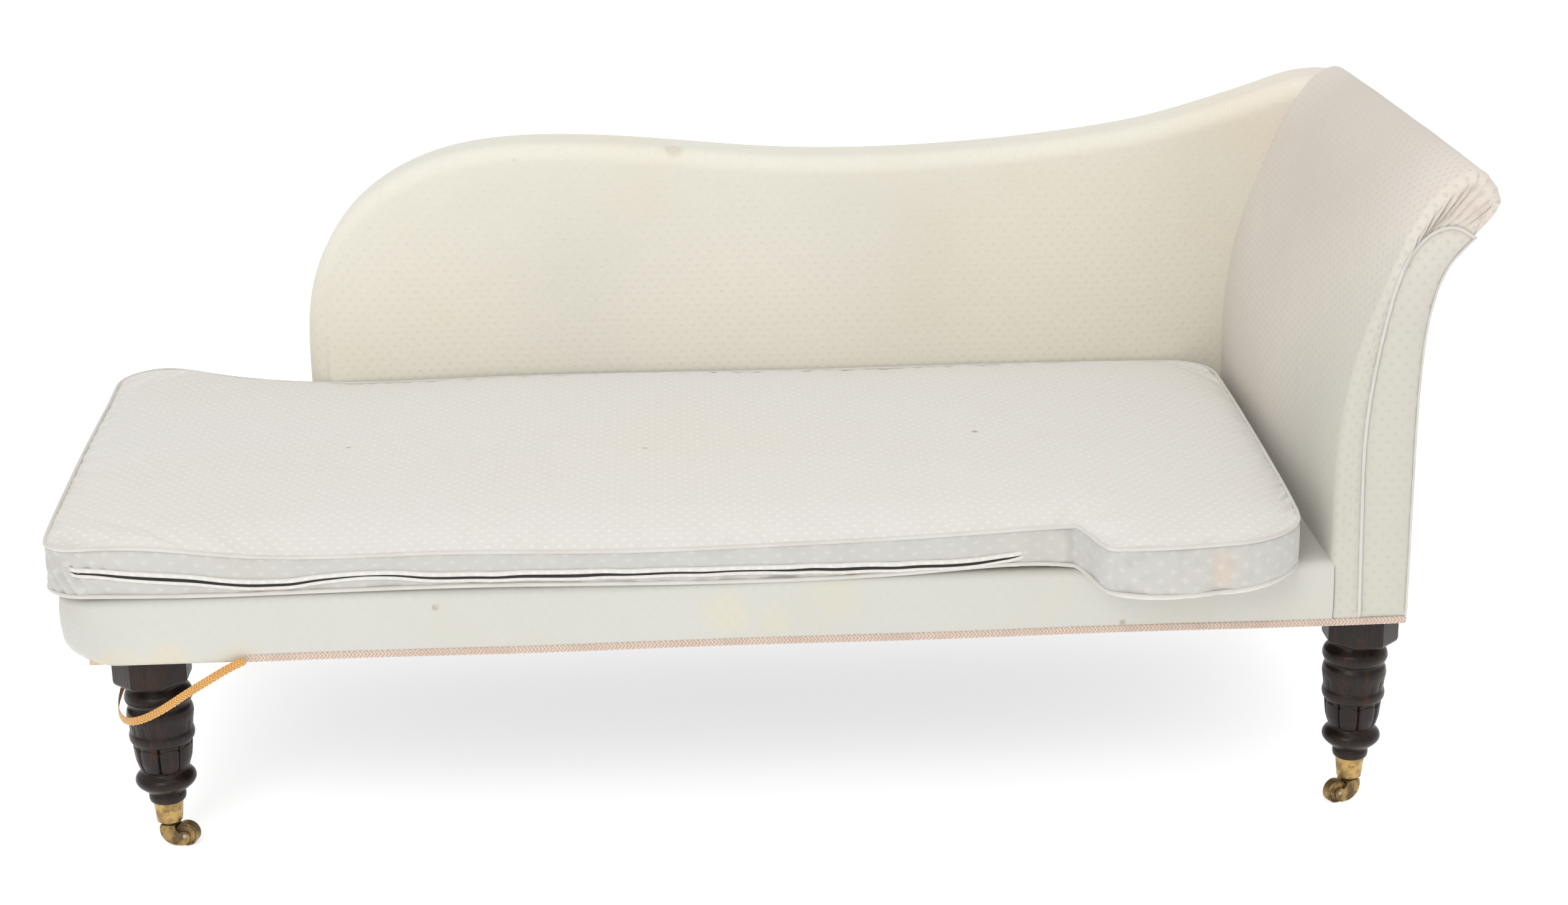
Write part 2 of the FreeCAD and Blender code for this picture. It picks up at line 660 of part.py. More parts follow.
def axle(row, side, degrees):
    """A steel pin through both cheeks of the horn."""
    label = f"{row}_{side}_axle"
    body = doc.addObject("PartDesign::Body", label)
    sketch = new_sketch(
        body, "XZ_Plane", [Part.Circle(flat(0, 0), Vector(0, 0, 1), size("axle_radius"))],
    )
    pad = body.newObject("PartDesign::Pad", label + "_pad")
    pad.Profile = sketch
    pad.SideType = "Symmetric"
    pad.setExpression("Length", "sizes.horn_width")
    place_on_axle(body, row, side, degrees)
    return keep(body, label)


def place_on_axle(body, row, side, degrees):
    turn = FreeCAD.Rotation(Vector(0, 0, 1), degrees)
    reach = turn.multVec(Vector(1, 0, 0))
    body.Placement = FreeCAD.Placement(Vector(), turn)
    body.setExpression("Placement.Base.x", f"places.leg_{side}_x + ({reach.x:.9f}) * sizes.castor_trail")
    body.setExpression("Placement.Base.y", f"places.leg_{row}_y + ({reach.y:.9f}) * sizes.castor_trail")
    body.setExpression("Placement.Base.z", "sizes.wheel_radius")


def leg_axes():
    """Where the four legs stand."""
    return [Vector(x, y, 0) for y in (at.leg_front_y, at.leg_back_y) for x in (at.leg_foot_x, at.leg_head_x)]


def castor_pins():
    """Four riveted pins: a head in the cup and a shank that the horn turns on."""
    floor = at.cup_base + size("cup_floor")
    radius = size("swivel_radius")
    pins = []
    for foot in leg_axes():
        shank = Part.makeCylinder(
            radius, floor - at.cup_base + size("swivel_depth"), foot + Vector(0, 0, at.cup_base - size("swivel_depth")),
        )
        head = Part.makeCylinder(radius + 3, 2, foot + Vector(0, 0, floor))
        pins.append(shank.fuse(head).removeSplitter())
    shaped("castor_pins", Part.makeCompound(pins))


def cup_screws():
    """Two round-headed screws through the wall of each cup into the leg."""
    height = at.cup_mouth - size("screw_drop")
    slope = (size("cup_top_radius") - size("cup_base_radius")) / size("cup_height")
    seat = size("cup_top_radius") - slope * size("screw_drop") + 0.5
    screws = []
    for foot in leg_axes():
        for way in (-1, 1):
            out = Vector(0, way, 0)
            start = foot + Vector(0, 0, height) + out * (seat - size("screw_length"))
            tip, long = size("screw_head") / 2, size("screw_length")
            half = [
                (0, 0), (size("screw_radius"), 0), (size("screw_radius"), long), (size("screw_head"), long),
                (tip, long + 1.4), (0, long + 1.4),
            ]
            outline = Part.makePolygon([start + Vector(across, 0, 0) + out * far for across, far in half + half[:1]])
            screws.append(Part.Face(outline).revolve(start, out, 360))
    shaped("cup_screws", Part.makeCompound(screws))


# Back and arm frames

def crest_lines():
    """Upper and lower line of the crest rail, inside the back's edge."""
    clear = size("cover_thick") + size("stuffing_thick") + 2
    rows = [point for point in back_edge if point[1] > at.hump - SWEEP_DROP + 60]
    rows = [point for point in rows if point[0] < at.arm_in + size("rail_thick") * 3]
    upper = inset(rows, [clear] * len(rows))
    lower = inset(rows, [clear + size("crest_depth")] * len(rows))
    lower[0] = (lower[0][0], upper[0][1])
    lower[-1] = (upper[-1][0], lower[-1][1])
    return upper, lower


def back_frame():
    """Two posts on the back rail, the crest rail over them, a tacking rail and two slats."""
    upper, lower = crest_lines()
    plane, thick = "places.rail_back_in", "sizes.rail_thick"
    slab("back_top_rail", band(spline(upper), spline(lower)), plane, thick)
    post_x = upper[0][0]
    width = lower[0][0] - post_x
    slab("back_foot_post", polygon([
        (post_x, at.rail_top), (post_x + width, at.rail_top),
        (post_x + width, upper[0][1] - size("glue_gap")), (post_x, upper[0][1] - size("glue_gap")),
    ]), plane, thick)
    head_x = lower[-1][0]
    under = spline(lower)

    def seat_under(left, right):
        """Points under the crest rail between two places."""
        ends = []
        for share in (0, 0.25, 0.5, 0.75, 1):
            x = right + (left - right) * share
            meet = under.intersect(Part.Line(flat(x, 0), flat(x, 1)))
            ends.append((x, max(point.Y for point in meet) - size("cloth_gap")))
        return ends

    left = head_x - 2 * size("rail_thick")
    slab("back_head_post", polygon([(left, at.rail_top), (head_x, at.rail_top)] + seat_under(left, head_x - 0.01)),
         plane, thick)
    stay_top = at.stay_z + size("stay_height")
    slab("back_stay_rail", polygon([
        (post_x + width + size("glue_gap"), at.stay_z), (left - size("glue_gap"), at.stay_z),
        (left - size("glue_gap"), stay_top), (post_x + width + size("glue_gap"), stay_top),
    ]), plane, thick)
    slats = []
    for share in (1 / 3, 2 / 3):
        middle = post_x + width + (left - post_x - width) * share
        sides = middle - size("slat_width") / 2, middle + size("slat_width") / 2
        corners = [(sides[0], stay_top), (sides[1], stay_top)] + seat_under(*sides)
        face = Part.Face(Part.makePolygon(
            [Vector(x, at.rail_back_in, z) for x, z in corners + corners[:1]]))
        slats.append(face.extrude(Vector(0, size("rail_thick"), 0)))
    shaped("back_slats", Part.makeCompound(slats))
    return lower


def arm_layer(depth, first, last):
    """The arm's outline at a depth below its surface, between two of its points or shares between them."""
    curve = spline(inset(arm_line, [depth] * len(arm_line)), arm_line)
    pace = paces(arm_line)
    ends = []
    for place in (first, last):
        whole = min(int(place), len(pace) - 2)
        ends.append(pace[whole] + (place - whole) * (pace[whole + 1] - pace[whole]))
    curve.segment(*ends)
    return curve


def board_line():
    """The arm's outline as its wooden boards have it, inside the stuffing and the outer cover."""
    inside, outside = at.frame_inset, size("cover_thick") + size("cloth_gap") + 0.5
    depths = [inside] * ROLL_END + [(inside + outside) / 2] + [outside] * (len(arm_line) - ROLL_END - 1)
    points = inset(arm_line, depths)
    points[0] = (points[1][0], at.rail_top)
    points[-1] = (points[-2][0], at.rail_top)
    return points


def arm_frame():
    """Two scroll boards, a round rail in the roll and a tacking rail above the seat."""
    outline = board_line()
    curves = arcs(spline(outline)) + [line(outline[-1], outline[0])]
    thick = "sizes.rail_thick"
    slab("arm_front_post", curves, "places.rail_front", thick)
    rear = f"places.back_face - sizes.rail_set - {thick}"
    slab("arm_back_post", curves, rear, thick)
    run = f"{rear} - places.rail_front_in"
    bar("arm_stay_rail",
        ("places.arm_in + places.frame_inset + sizes.cloth_gap", "places.rail_front_in", "places.stay_z"),
        (thick, run, "sizes.stay_height"))
    rail = doc.addObject("Part::Cylinder", "arm_roll_rail")
    rail.setExpression("Radius", "sizes.roll_rail_radius")
    rail.setExpression("Height", run)
    crest, tip = arm_line[ROLL_END - 4], arm_line[TIP]
    centre = (crest[0] - 5, tip[1] - 4)
    rail.Placement = FreeCAD.Placement(
        Vector(centre[0], at.rail_front_in, centre[1]), FreeCAD.Rotation(Vector(1, 0, 0), -90))
    rail.setExpression("Placement.Base.y", "places.rail_front_in")
    keep(rail, "arm_roll_rail")


# Webbing, hessian and stuffing

def strap(start, along, across, up, run, thick, crossings=(), width=0, first_over=True):
    """A flat strap that steps over and under the straps it crosses."""
    heights = [(0, 0)]
    over = first_over
    for middle in crossings:
        level = thick if over else -thick
        heights += [(middle - 0.8 * width, 0), (middle - 0.55 * width, level),
                    (middle + 0.55 * width, level), (middle + 0.8 * width, 0)]
        over = not over
    heights.append((run, 0))
    lower = [start + along * far + up * high for far, high in heights]
    upper = [point + up * thick for point in reversed(lower)]
    outline = Part.Face(Part.makePolygon(lower + upper + lower[:1]))
    return outline.extrude(across * width)


def spread(start, end, count):
    """Middles of evenly spaced places between two ends."""
    return [start + (end - start) * (number + 0.5) / count for number in range(count)]


def woven(label, corner, along, across, up, run, depth, columns, rows):
    """Straps along and across a frame: the short ones lie flat and the long ones weave through them."""
    wide, thick = size("web_width"), size("web_thick")
    level = corner + up * thick
    straps = [
        strap(level + along * (middle - wide / 2), across, along, up, depth, thick, (), wide) for middle in columns
    ]
    for number, middle in enumerate(rows):
        straps.append(strap(
            level + across * (middle - wide / 2), along, across, up, run, thick, columns, wide, number % 2 == 0))
    shaped(label, Part.makeCompound(straps))


def webbing():
    """Webbing under the seat, on the front of the back frame and up the inside of the arm."""
    x_way, y_way, z_way = Vector(1, 0, 0), Vector(0, 1, 0), Vector(0, 0, 1)
    woven(
        "seat_webbing", Vector(at.rail_foot, at.rail_front, at.web_z), x_way, y_way, z_way,
        at.rail_head - at.rail_foot, at.rail_back_in - at.rail_front,
        spread(0, at.arm_in - at.rail_foot, 9),
        spread(size("rail_thick"), at.back_face - size("rail_set") - size("rail_thick") - at.rail_front, 4),
    )
    hump = at.hump - SWEEP_DROP
    left = at.back_foot_x + 2 * at.frame_inset
    woven(
        "back_webbing", Vector(left, at.web_y, at.stay_z), x_way, z_way, Vector(0, -1, 0),
        at.arm_in - left, hump + SWEEP_DROP / 2 - at.stay_z,
        spread(0, at.arm_in - left, 7), spread(0, hump + SWEEP_DROP / 2 - at.stay_z, 2),
    )
    depth = at.frame_inset - size("web_thick") - size("cloth_gap")
    curves = band(arm_layer(depth, 2, TIP - 2), arm_layer(depth + size("web_thick"), 2, TIP - 2))
    wire = Part.Wire(Part.__sortEdges__([curve.toShape() for curve in curves]))
    face = Part.Face(wire)
    face.rotate(Vector(), x_way, 90)
    rear = at.back_face - size("rail_set") - size("rail_thick")
    straps = []
    for middle in spread(at.rail_front_in, rear, 6):
        strap_face = face.copy()
        strap_face.translate(Vector(0, middle + size("web_width") / 2, 0))
        straps.append(strap_face.extrude(Vector(0, -size("web_width"), 0)))
    shaped("arm_webbing", Part.makeCompound(straps))


def rounded_plan(left, right, low, high, radius):
    """A rectangle in plan whose two corners at the foot are rounded."""
    bend = radius * (1 - math.sqrt(0.5))
    return [
        line((right, low), (left + radius, low)),
        arc((left + radius, low), (left + bend, low + bend), (left, low + radius)),
        line((left, low + radius), (left, high - radius)),
        arc((left, high - radius), (left + bend, high - bend), (left + radius, high)),
        line((left + radius, high), (right, high)),
        line((right, high), (right, low)),
    ]


def stuffing():
    """Hessian over the seat webbing, and the stuffing of the seat, the foot end, the back and the arm."""
    gap, cover = size("cloth_gap"), size("cover_thick")
    bar("seat_hessian", ("places.rail_foot", "places.rail_front", "places.hessian_z"),
        ("places.arm_in - places.rail_foot", f"places.back_face - places.rail_front", "sizes.hessian_thick"))
    bar("seat_stuffing", ("places.rail_foot", "places.rail_front", "places.seat_pad_z"),
        ("places.arm_in - places.rail_foot - sizes.cloth_gap",
         "places.back_face - places.rail_front - sizes.cloth_gap", "places.seat_pad_top - places.seat_pad_z"))
    low, turn = size("apron_bottom") + cover + gap, size("foot_roll") - cover - gap
    left, right = at.foot + cover + gap, at.rail_foot - gap
    reach = min(right, left + turn)

    def roll_z(x):
        """Height of the roll's inside at a place along the couch."""
        return low + turn - math.sqrt(turn ** 2 - (left + turn - x) ** 2)

    outline = [
        line((left, at.rail_top), (left, low + turn)),
        arc((left, low + turn), ((left + reach) / 2, roll_z((left + reach) / 2)), (reach, roll_z(reach))),
        line((right, roll_z(reach)), (right, at.rail_top)),
        line((right, at.rail_top), (left, at.rail_top)),
    ]
    if right > reach:
        outline.append(line((reach, roll_z(reach)), (right, roll_z(reach))))
    slab("foot_end_pad", outline, "places.front + sizes.foot_corner",
         "sizes.carcass_depth - 2 * sizes.foot_corner")
    inner = inset(back_edge, [size("back_shoulder") + cover + 4] * len(back_edge))
    base = at.deck + gap
    inner[0] = (inner[1][0], base)
    ends = [point for point in inner if point[0] < at.arm_in]
    ends.append((at.arm_in, on_edge(inner, at.arm_in)))
    slab("back_stuffing", arcs(spline(ends)) + [
        line(ends[-1], (at.arm_in, base)), line((at.arm_in, base), ends[0]),
    ], "places.back_face + sizes.cover_thick + sizes.cloth_gap",
         "places.web_y - 3 * sizes.web_thick - places.back_face - sizes.cover_thick - 2 * sizes.cloth_gap")
    slab("arm_stuffing",
         band(arm_layer(cover + gap, DECK_END, TIP), arm_layer(cover + size("stuffing_thick"), DECK_END, TIP)),
         "places.front + sizes.cover_thick + 2 * sizes.cloth_gap",
         "places.back_face - places.front - sizes.cover_thick - 4 * sizes.cloth_gap")


# Covers and trim

def seat_cover():
    """Apron and deck in one cover: open below, turned under and rolled at the foot, cut away for the back."""
    cover, roll, low = size("cover_thick"), size("foot_roll"), size("apron_bottom")
    past, set_in = at.arm_in + size("rail_thick"), size("rail_set") - size("cloth_gap")
    body = doc.addObject("PartDesign::Body", "seat_cover")
    plan = new_sketch(body, "XY_Plane", rounded_plan(
        at.foot, at.arm_in - size("cloth_gap"), at.front, at.back, size("foot_corner")),
        ("0", "0", "sizes.apron_bottom"))
    add_pad(body, plan, "sizes.apron_height")
    bend = roll * (1 - math.sqrt(0.5))
    rolled = new_sketch(body, "XZ_Plane", [
        line((at.foot - 1, low - 1), (at.foot + roll, low - 1)),
        line((at.foot + roll, low - 1), (at.foot + roll, low)),
        arc((at.foot + roll, low), (at.foot + bend, low + bend), (at.foot, low + roll)),
        line((at.foot, low + roll), (at.foot - 1, low + roll)),
        line((at.foot - 1, low + roll), (at.foot - 1, low - 1)),
    ])
    cut_pocket(body, rolled, "4 * sizes.carcass_depth", symmetric=True)
    hollow = new_sketch(body, "XY_Plane", polygon([
        (at.foot + at.foot_turn, at.front + set_in), (at.foot + size("foot_corner"), at.front + cover),
        (past, at.front + cover), (past, at.back - cover),
        (at.foot + size("foot_corner"), at.back - cover), (at.foot + at.foot_turn, at.back - set_in),
    ]), ("0", "0", "sizes.apron_bottom"))
    cut_pocket(body, hollow, "sizes.apron_height - sizes.cover_thick", backwards=True)
    inner, turn = roll - cover, (roll - cover) * (1 - math.sqrt(0.5))
    left, floor, ceiling = at.foot + cover, low + cover, at.deck - cover
    middle = -(at.front + at.back) / 2
    foot_hollow = new_sketch(body, "XZ_Plane", [
        line((left, ceiling), (left, floor + inner)),
        arc((left, floor + inner), (left + turn, floor + turn), (left + inner, floor)),
        line((left + inner, floor), (at.foot + at.foot_turn + 1, floor)),
        line((at.foot + at.foot_turn + 1, floor), (at.foot + at.foot_turn + 1, ceiling)),
        line((at.foot + at.foot_turn + 1, ceiling), (left, ceiling)),
    ], ("0", "0", f"{middle:.4f}"))
    cut_pocket(body, foot_hollow, "sizes.carcass_depth - 1.6 * sizes.foot_corner", symmetric=True)
    notch = new_sketch(body, "XY_Plane", polygon([
        (at.back_foot_x - 2, at.back_face - size("cloth_gap")), (past, at.back_face - size("cloth_gap")),
        (past, at.back + 5), (at.back_foot_x - 2, at.back + 5),
    ]), ("0", "0", "sizes.apron_bottom - 1"))
    cut_pocket(body, notch, "sizes.apron_height + 2", backwards=True)
    keep(body, "seat_cover")


def bottom_cloth():
    """Dust cloth under the rails, notched round the legs."""
    left, right = at.foot + at.foot_turn + size("cloth_gap"), at.rail_head
    low, high = at.rail_front, at.rail_back
    notch_y = size("leg_set") + size("block_across") / 2 + size("glue_gap") + 5
    notch_x = size("block_across") / 2 + size("glue_gap") + 5 - size("block_offset")
    foot_x, head_x = at.leg_foot_x + notch_x, at.leg_head_x - notch_x
    near, far = at.front + notch_y, at.back - notch_y
    plate("bottom_cloth", polygon([
        (foot_x, low), (head_x, low), (head_x, near), (right, near), (right, far), (head_x, far),
        (head_x, high), (foot_x, high), (foot_x, far), (left, far), (left, near), (foot_x, near),
    ]), "places.rail_base - sizes.hessian_thick", "sizes.hessian_thick")


def back_shell(depth, start, shoulder):
    """A closed padded form inside the back's edge, its front edge rounded, as a loft of insets."""
    clear = size("cover_thick") + size("cloth_gap") + 2 + depth
    depths = [clear] * len(arm_line)
    depths[ROLL_END] = 2 * clear
    side = inset(arm_line, depths)[ROLL_END:ROLL_END + 5]
    base = at.deck + size("cloth_gap") - depth
    side.append((side[-1][0], base))
    wires = []
    for share in (0, 0.12, 0.4, 1):
        pull = depth + shoulder * (1 - math.sqrt(1 - (1 - share) ** 2))
        points = inset(back_edge, [pull] * len(back_edge))
        points[0] = (points[1][0], base)
        ring = [points[-1]] + side + [points[0]]
        edges = [spline(points, back_edge).toShape()] + [line(a, b).toShape() for a, b in zip(ring, ring[1:])]
        wire = Part.Wire(edges)
        wire.rotate(Vector(), Vector(1, 0, 0), 90)
        wire.translate(Vector(0, at.back_face + start + share * shoulder, 0))
        wires.append(wire)
    front = Part.makeLoft(wires, True, True)
    rear = Part.Face(wires[-1]).extrude(
        Vector(0, size("back_thickness") - size("cover_thick") - size("cloth_gap") - start - shoulder, 0))
    return front.fuse(rear).removeSplitter()


def back_covers():
    """The inside cover wraps the front and top of the back, and a flat panel closes the rear."""
    cover = size("cover_thick")
    outer = back_shell(0, 0, size("back_shoulder"))
    inner = back_shell(cover, cover, size("back_shoulder"))
    room = Part.makeBox(
        3 * size("couch_length"), cover + 1, 3 * at.peak,
        Vector(-2 * size("couch_length"), at.back - cover - size("cloth_gap"), 0))
    shaped("back_inside_cover", outer.cut(inner).cut(room))
    top = [(x, z) for x, z in inset(back_edge, [2] * len(back_edge))]
    top[0] = (top[1][0], size("apron_bottom"))
    side = arm_line[ROLL_END:]
    top.append((at.head - 12, top[-1][1] - 20))
    slab("back_outside_cover", arcs(spline(top)) + arcs(spline(side)) + [
        line(top[-1], side[0]), line(side[-1], top[0]),
    ], "places.back - sizes.cover_thick", "sizes.cover_thick")


def arm_covers():
    """Inside cover over the roll and round the front edge, outside cover below the roll, and the facing."""
    cover = size("cover_thick")
    body = doc.addObject("PartDesign::Body", "arm_inside_cover")
    layers = arm_layer(0, DECK_END, ROLL_END), arm_layer(cover, DECK_END, ROLL_END)
    ring = new_sketch(body, "XZ_Plane", band(*layers, lambda curve: [curve]),
                      ("0", "0", "-places.front - sizes.cover_thick"))
    add_pad(body, ring, "places.back_face - places.front - sizes.cover_thick - sizes.cloth_gap", backwards=True)
    front = new_sketch(body, "XZ_Plane", [
        arm_layer(0, 0, ROLL_END), spline(facing_line), line(facing_line[0], arm_line[0]),
    ], ("0", "0", "-places.front"))
    add_pad(body, front, "sizes.cover_thick", backwards=True)
    keep(body, "arm_inside_cover")
    last = len(arm_line) - 1
    slab("arm_front_facing", arcs(spline(facing_line)) + arcs(arm_layer(0, ROLL_END, last)) + [
        line(arm_line[-1], facing_line[0]),
    ], "places.front", "sizes.cover_thick")
    first = ROLL_END + 0.15
    slab("arm_outside_cover", band(arm_layer(0, first, last), arm_layer(cover, first, last)),
         "places.front + sizes.cover_thick + sizes.cloth_gap",
         "sizes.carcass_depth - 2 * sizes.cover_thick - 2 * sizes.cloth_gap")


def rounded_path(points, share=0.45):
    """Straight runs joined by tangent arcs, each arc as large as its two runs allow; also its radii."""
    edges, radii = [], []
    start = points[0]
    for before, corner, after in zip(points, points[1:], points[2:]):
        back_way, on_way = (before - corner).normalize(), (after - corner).normalize()
        half_turn = (math.pi - back_way.getAngle(on_way)) / 2
        if half_turn < 0.001:
            continue
        trim = share * min((corner - before).Length, (after - corner).Length)
        radius = trim / math.tan(half_turn)
        enter, leave = corner + back_way * trim, corner + on_way * trim
        reach = radius / math.cos(half_turn)
        bisector = (back_way + on_way).normalize()
        middle = corner + bisector * (reach - radius)
        edges.append(Part.LineSegment(start, enter).toShape())
        edges.append(Part.Arc(enter, middle, leave).toShape())
        radii.append(radius)
        start = leave
    edges.append(Part.LineSegment(start, points[-1]).toShape())
    return Part.Wire(edges), radii


def tube(path, radius, sides=0):
    """A tube swept along a path, round or with flat sides for a cord whose section doesn't show."""
    first = path.OrderedEdges[0]
    start, way = first.valueAt(first.FirstParameter), first.tangentAt(first.FirstParameter)
    ring = Part.Wire([Part.makeCircle(radius, start, way)])
    if sides:
        points = ring.discretize(sides + 1)
        ring = Part.makePolygon(points)
    return path.makePipe(Part.Face(ring))


def trim():
    """Piping on the arm's facing, and the gimp along the lower edge, as far as it is still sewn on."""
    radius, gap = size("trim_radius"), size("glue_gap")
    front = at.front - radius - gap
    tubes = []
    for outline in (facing_line, arm_line[:ROLL_END - 1:-1]):
        points = [Vector(x, front, z) for x, z in outline]
        points[0].z += size("gimp_width") + 2 * radius
        if outline is not facing_line:
            points = [point - Vector(radius + 0.5, 0, 0) for point in points[:-1]]
        tubes.append(tube(rounded_path(points)[0], radius, PIPING_SIDES))
    shaped("arm_piping", Part.makeCompound(tubes))
    thick = size("gimp_thick")
    torn = at.foot + size("gimp_torn")
    right, rear = at.arm_out + size("cloth_gap"), at.back
    plate("bottom_braid", polygon([
        (torn, at.front - thick), (right + thick, at.front - thick), (right + thick, rear), (right, rear),
        (right, at.front), (torn, at.front),
    ]), "sizes.apron_bottom + sizes.glue_gap", "sizes.gimp_width")


# The length of gimp that has come off: points from where it is torn, from the apron's front face, by hand
LOOSE_WIDTH = 10
LOOSE_ROUTE = [
    (-646, -6.5, 276), (-668, -8, 266), (-694, -7, 250), (-722, -3, 232), (-752, 0, 213), (-782, 3, 201),
    (-808, 17, 197), (-826, 43, 199), (-829, 74, 206), (-818, 103, 219), (-806, 121, 239), (-800, 126, 266),
]


def loose_braid():
    """The hanging length of gimp, looped in front of the foot leg and tucked up behind it."""
    points = [Vector(x, at.front + y, z) for x, y, z in LOOSE_ROUTE]
    path, radii = rounded_path(points)
    solid = tube(path, LOOSE_WIDTH / 2)
    print("loose braid: length", round(path.Length, 1), "radii", [round(radius) for radius in radii])
    print("loose braid: volume over section times length",
          round(solid.Volume / (math.pi * LOOSE_WIDTH ** 2 / 4 * path.Length), 4))
    shaped("loose_braid", solid)


# Loose seat cushion

def cushion_plan(pull):
    """Outline of the cushion in plan, drawn in by a distance: an oblong with an extension at the head."""
    foot, head = at.cushion_foot + pull, at.cushion_head - pull
    rear, low, out = at.cushion_back - pull, at.front + pull, at.cushion_out + pull
    step = at.step + pull
    corner, far = size("cushion_corner") - pull, size("extension_corner") - pull
    inside = size("step_radius") + pull
    outer = size("step_radius") - pull + 8
    corners = [
        ((foot, rear), corner), ((foot, low), corner), ((step, low), inside), ((step, out), outer),
        ((head, out), far), ((head, rear), far),
    ]
    edges, ends = [], []
    for number, (corner_at, radius) in enumerate(corners):
        here = flat(*corner_at)
        before = (flat(*corners[number - 1][0]) - here).normalize()
        after = (flat(*corners[(number + 1) % len(corners)][0]) - here).normalize()
        enter, leave = here + before * radius, here + after * radius
        middle = here + (before + after) * (radius * (1 - math.sqrt(0.5)))
        edges.append((tuple(enter)[:2], tuple(middle)[:2], tuple(leave)[:2]))
        ends.append((tuple(enter)[:2], tuple(leave)[:2]))
    curves = []
    for number, bend in enumerate(edges):
        curves.append(line(ends[number - 1][1], ends[number][0]))
        curves.append(arc(*bend))
    return curves


def cushion_form(name, pull):
    """The cushion as a solid, drawn in by a distance: the plan padded up, its top crowned front to back."""
    base, edge = at.cushion_base + pull, at.cushion_base + size("cushion_edge") - pull
    peak, run = edge + size("cushion_crown"), size("crown_run")
    low, high = at.cushion_out - 1, at.cushion_back + 1
    body = doc.addObject("PartDesign::Body", name)
    plan = new_sketch(body, "XY_Plane", cushion_plan(pull), ("0", "0", f"{base:.4f}"))
    add_pad(body, plan, f"{peak - base:.4f}")
    above = new_sketch(body, "YZ_Plane", [
        arc((low, edge), (low + 0.4 * run, edge + 0.68 * (peak - edge)), (low + run, peak)),
        line((low + run, peak), (low + run, peak + 5)),
        line((low + run, peak + 5), (low, peak + 5)),
        line((low, peak + 5), (low, edge)),
    ])
    cut_pocket(body, above, "4 * sizes.couch_length", symmetric=True)
    behind = new_sketch(body, "YZ_Plane", [
        arc((high, edge), (high - 0.4 * run, edge + 0.68 * (peak - edge)), (high - run, peak)),
        line((high - run, peak), (high - run, peak + 5)),
        line((high - run, peak + 5), (high, peak + 5)),
        line((high, peak + 5), (high, edge)),
    ])
    cut_pocket(body, behind, "4 * sizes.couch_length", symmetric=True)
    return body


def cushion():
    """Cover with a long placket in its boxing, filling inside it, and a loop of piping round each edge."""
    cover, gap = size("cover_thick"), size("cloth_gap")
    sewn = cut("cushion_hollow", cushion_form("cushion_outside", 0), cushion_form("cushion_inside", cover))
    slit = box(
        "placket",
        ("places.cushion_foot + sizes.slit_set", "places.front - 1", "places.cushion_base + sizes.slit_rise"),
        ("places.step - places.cushion_foot - sizes.slit_set - sizes.slit_end",
         "sizes.cover_thick + 2", "sizes.slit_height"),
    )
    keep(cut("cushion_cover", sewn, slit), "cushion_cover")
    keep(cushion_form("cushion_filling", cover + gap), "cushion_filling")
    radius = size("piping_radius")
    path = Part.Wire(Part.__sortEdges__([curve.toShape() for curve in cushion_plan(-radius - gap)]))
    loops = []
    for height in (at.cushion_base + radius + gap, at.cushion_base + size("cushion_edge") - radius):
        raised = path.copy()
        raised.translate(Vector(0, 0, height))
        loops.append(tube(raised, radius, PIPING_SIDES))
    shaped("cushion_piping", Part.makeCompound(loops))


seat_frame()
for row in ("front", "back"):
    for side in ("foot", "head"):
        leg(row, side)
for row, side, degrees in CASTORS:
    cup(row, side)
    horn(row, side, degrees)
    axle(row, side, degrees)
    wheel(row, side, degrees)
castor_pins()
cup_screws()
back_frame()
arm_frame()
webbing()
stuffing()
seat_cover()
bottom_cloth()
back_covers()
arm_covers()
trim()
loose_braid()
cushion()
doc.recompute()

for thing in doc.Objects:
    if "Invalid" in thing.State or "Error" in thing.State:
        raise RuntimeError(f"{thing.Label} did not build: {thing.State}")
for thing in nodes:
    if thing.Shape.isNull() or not thing.Shape.isValid() or not thing.Shape.Solids:
        raise RuntimeError(f"{thing.Label} is not a sound solid")
os.makedirs("parts", exist_ok=True)
for thing in nodes:
    thing.Shape.exportStep(f"parts/{thing.Label}.step")
print("nodes written:", len(nodes))
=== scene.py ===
"""Looks of an upholstered fainting couch: covers, loose cushion, trim, turned legs and castors."""

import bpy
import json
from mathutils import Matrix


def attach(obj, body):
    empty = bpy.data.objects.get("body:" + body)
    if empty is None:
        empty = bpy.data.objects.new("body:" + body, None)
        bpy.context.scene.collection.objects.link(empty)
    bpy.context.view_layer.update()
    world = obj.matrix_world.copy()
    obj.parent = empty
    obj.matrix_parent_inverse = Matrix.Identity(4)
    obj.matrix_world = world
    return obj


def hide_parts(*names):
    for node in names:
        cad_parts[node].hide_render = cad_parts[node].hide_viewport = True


bl_info = {
    "name": "Fainting couch",
    "version": (1, 0, 0),
    "blender": (4, 5, 0),
    "location": "View3D > Sidebar > Couch",
    "description": "Covers, cushion, trim, turned legs and finishes of a couch with one scrolled arm",
    "category": "Object",
}

import json
import math

import bmesh
import bpy
import numpy as np
from mathutils import Matrix, Vector

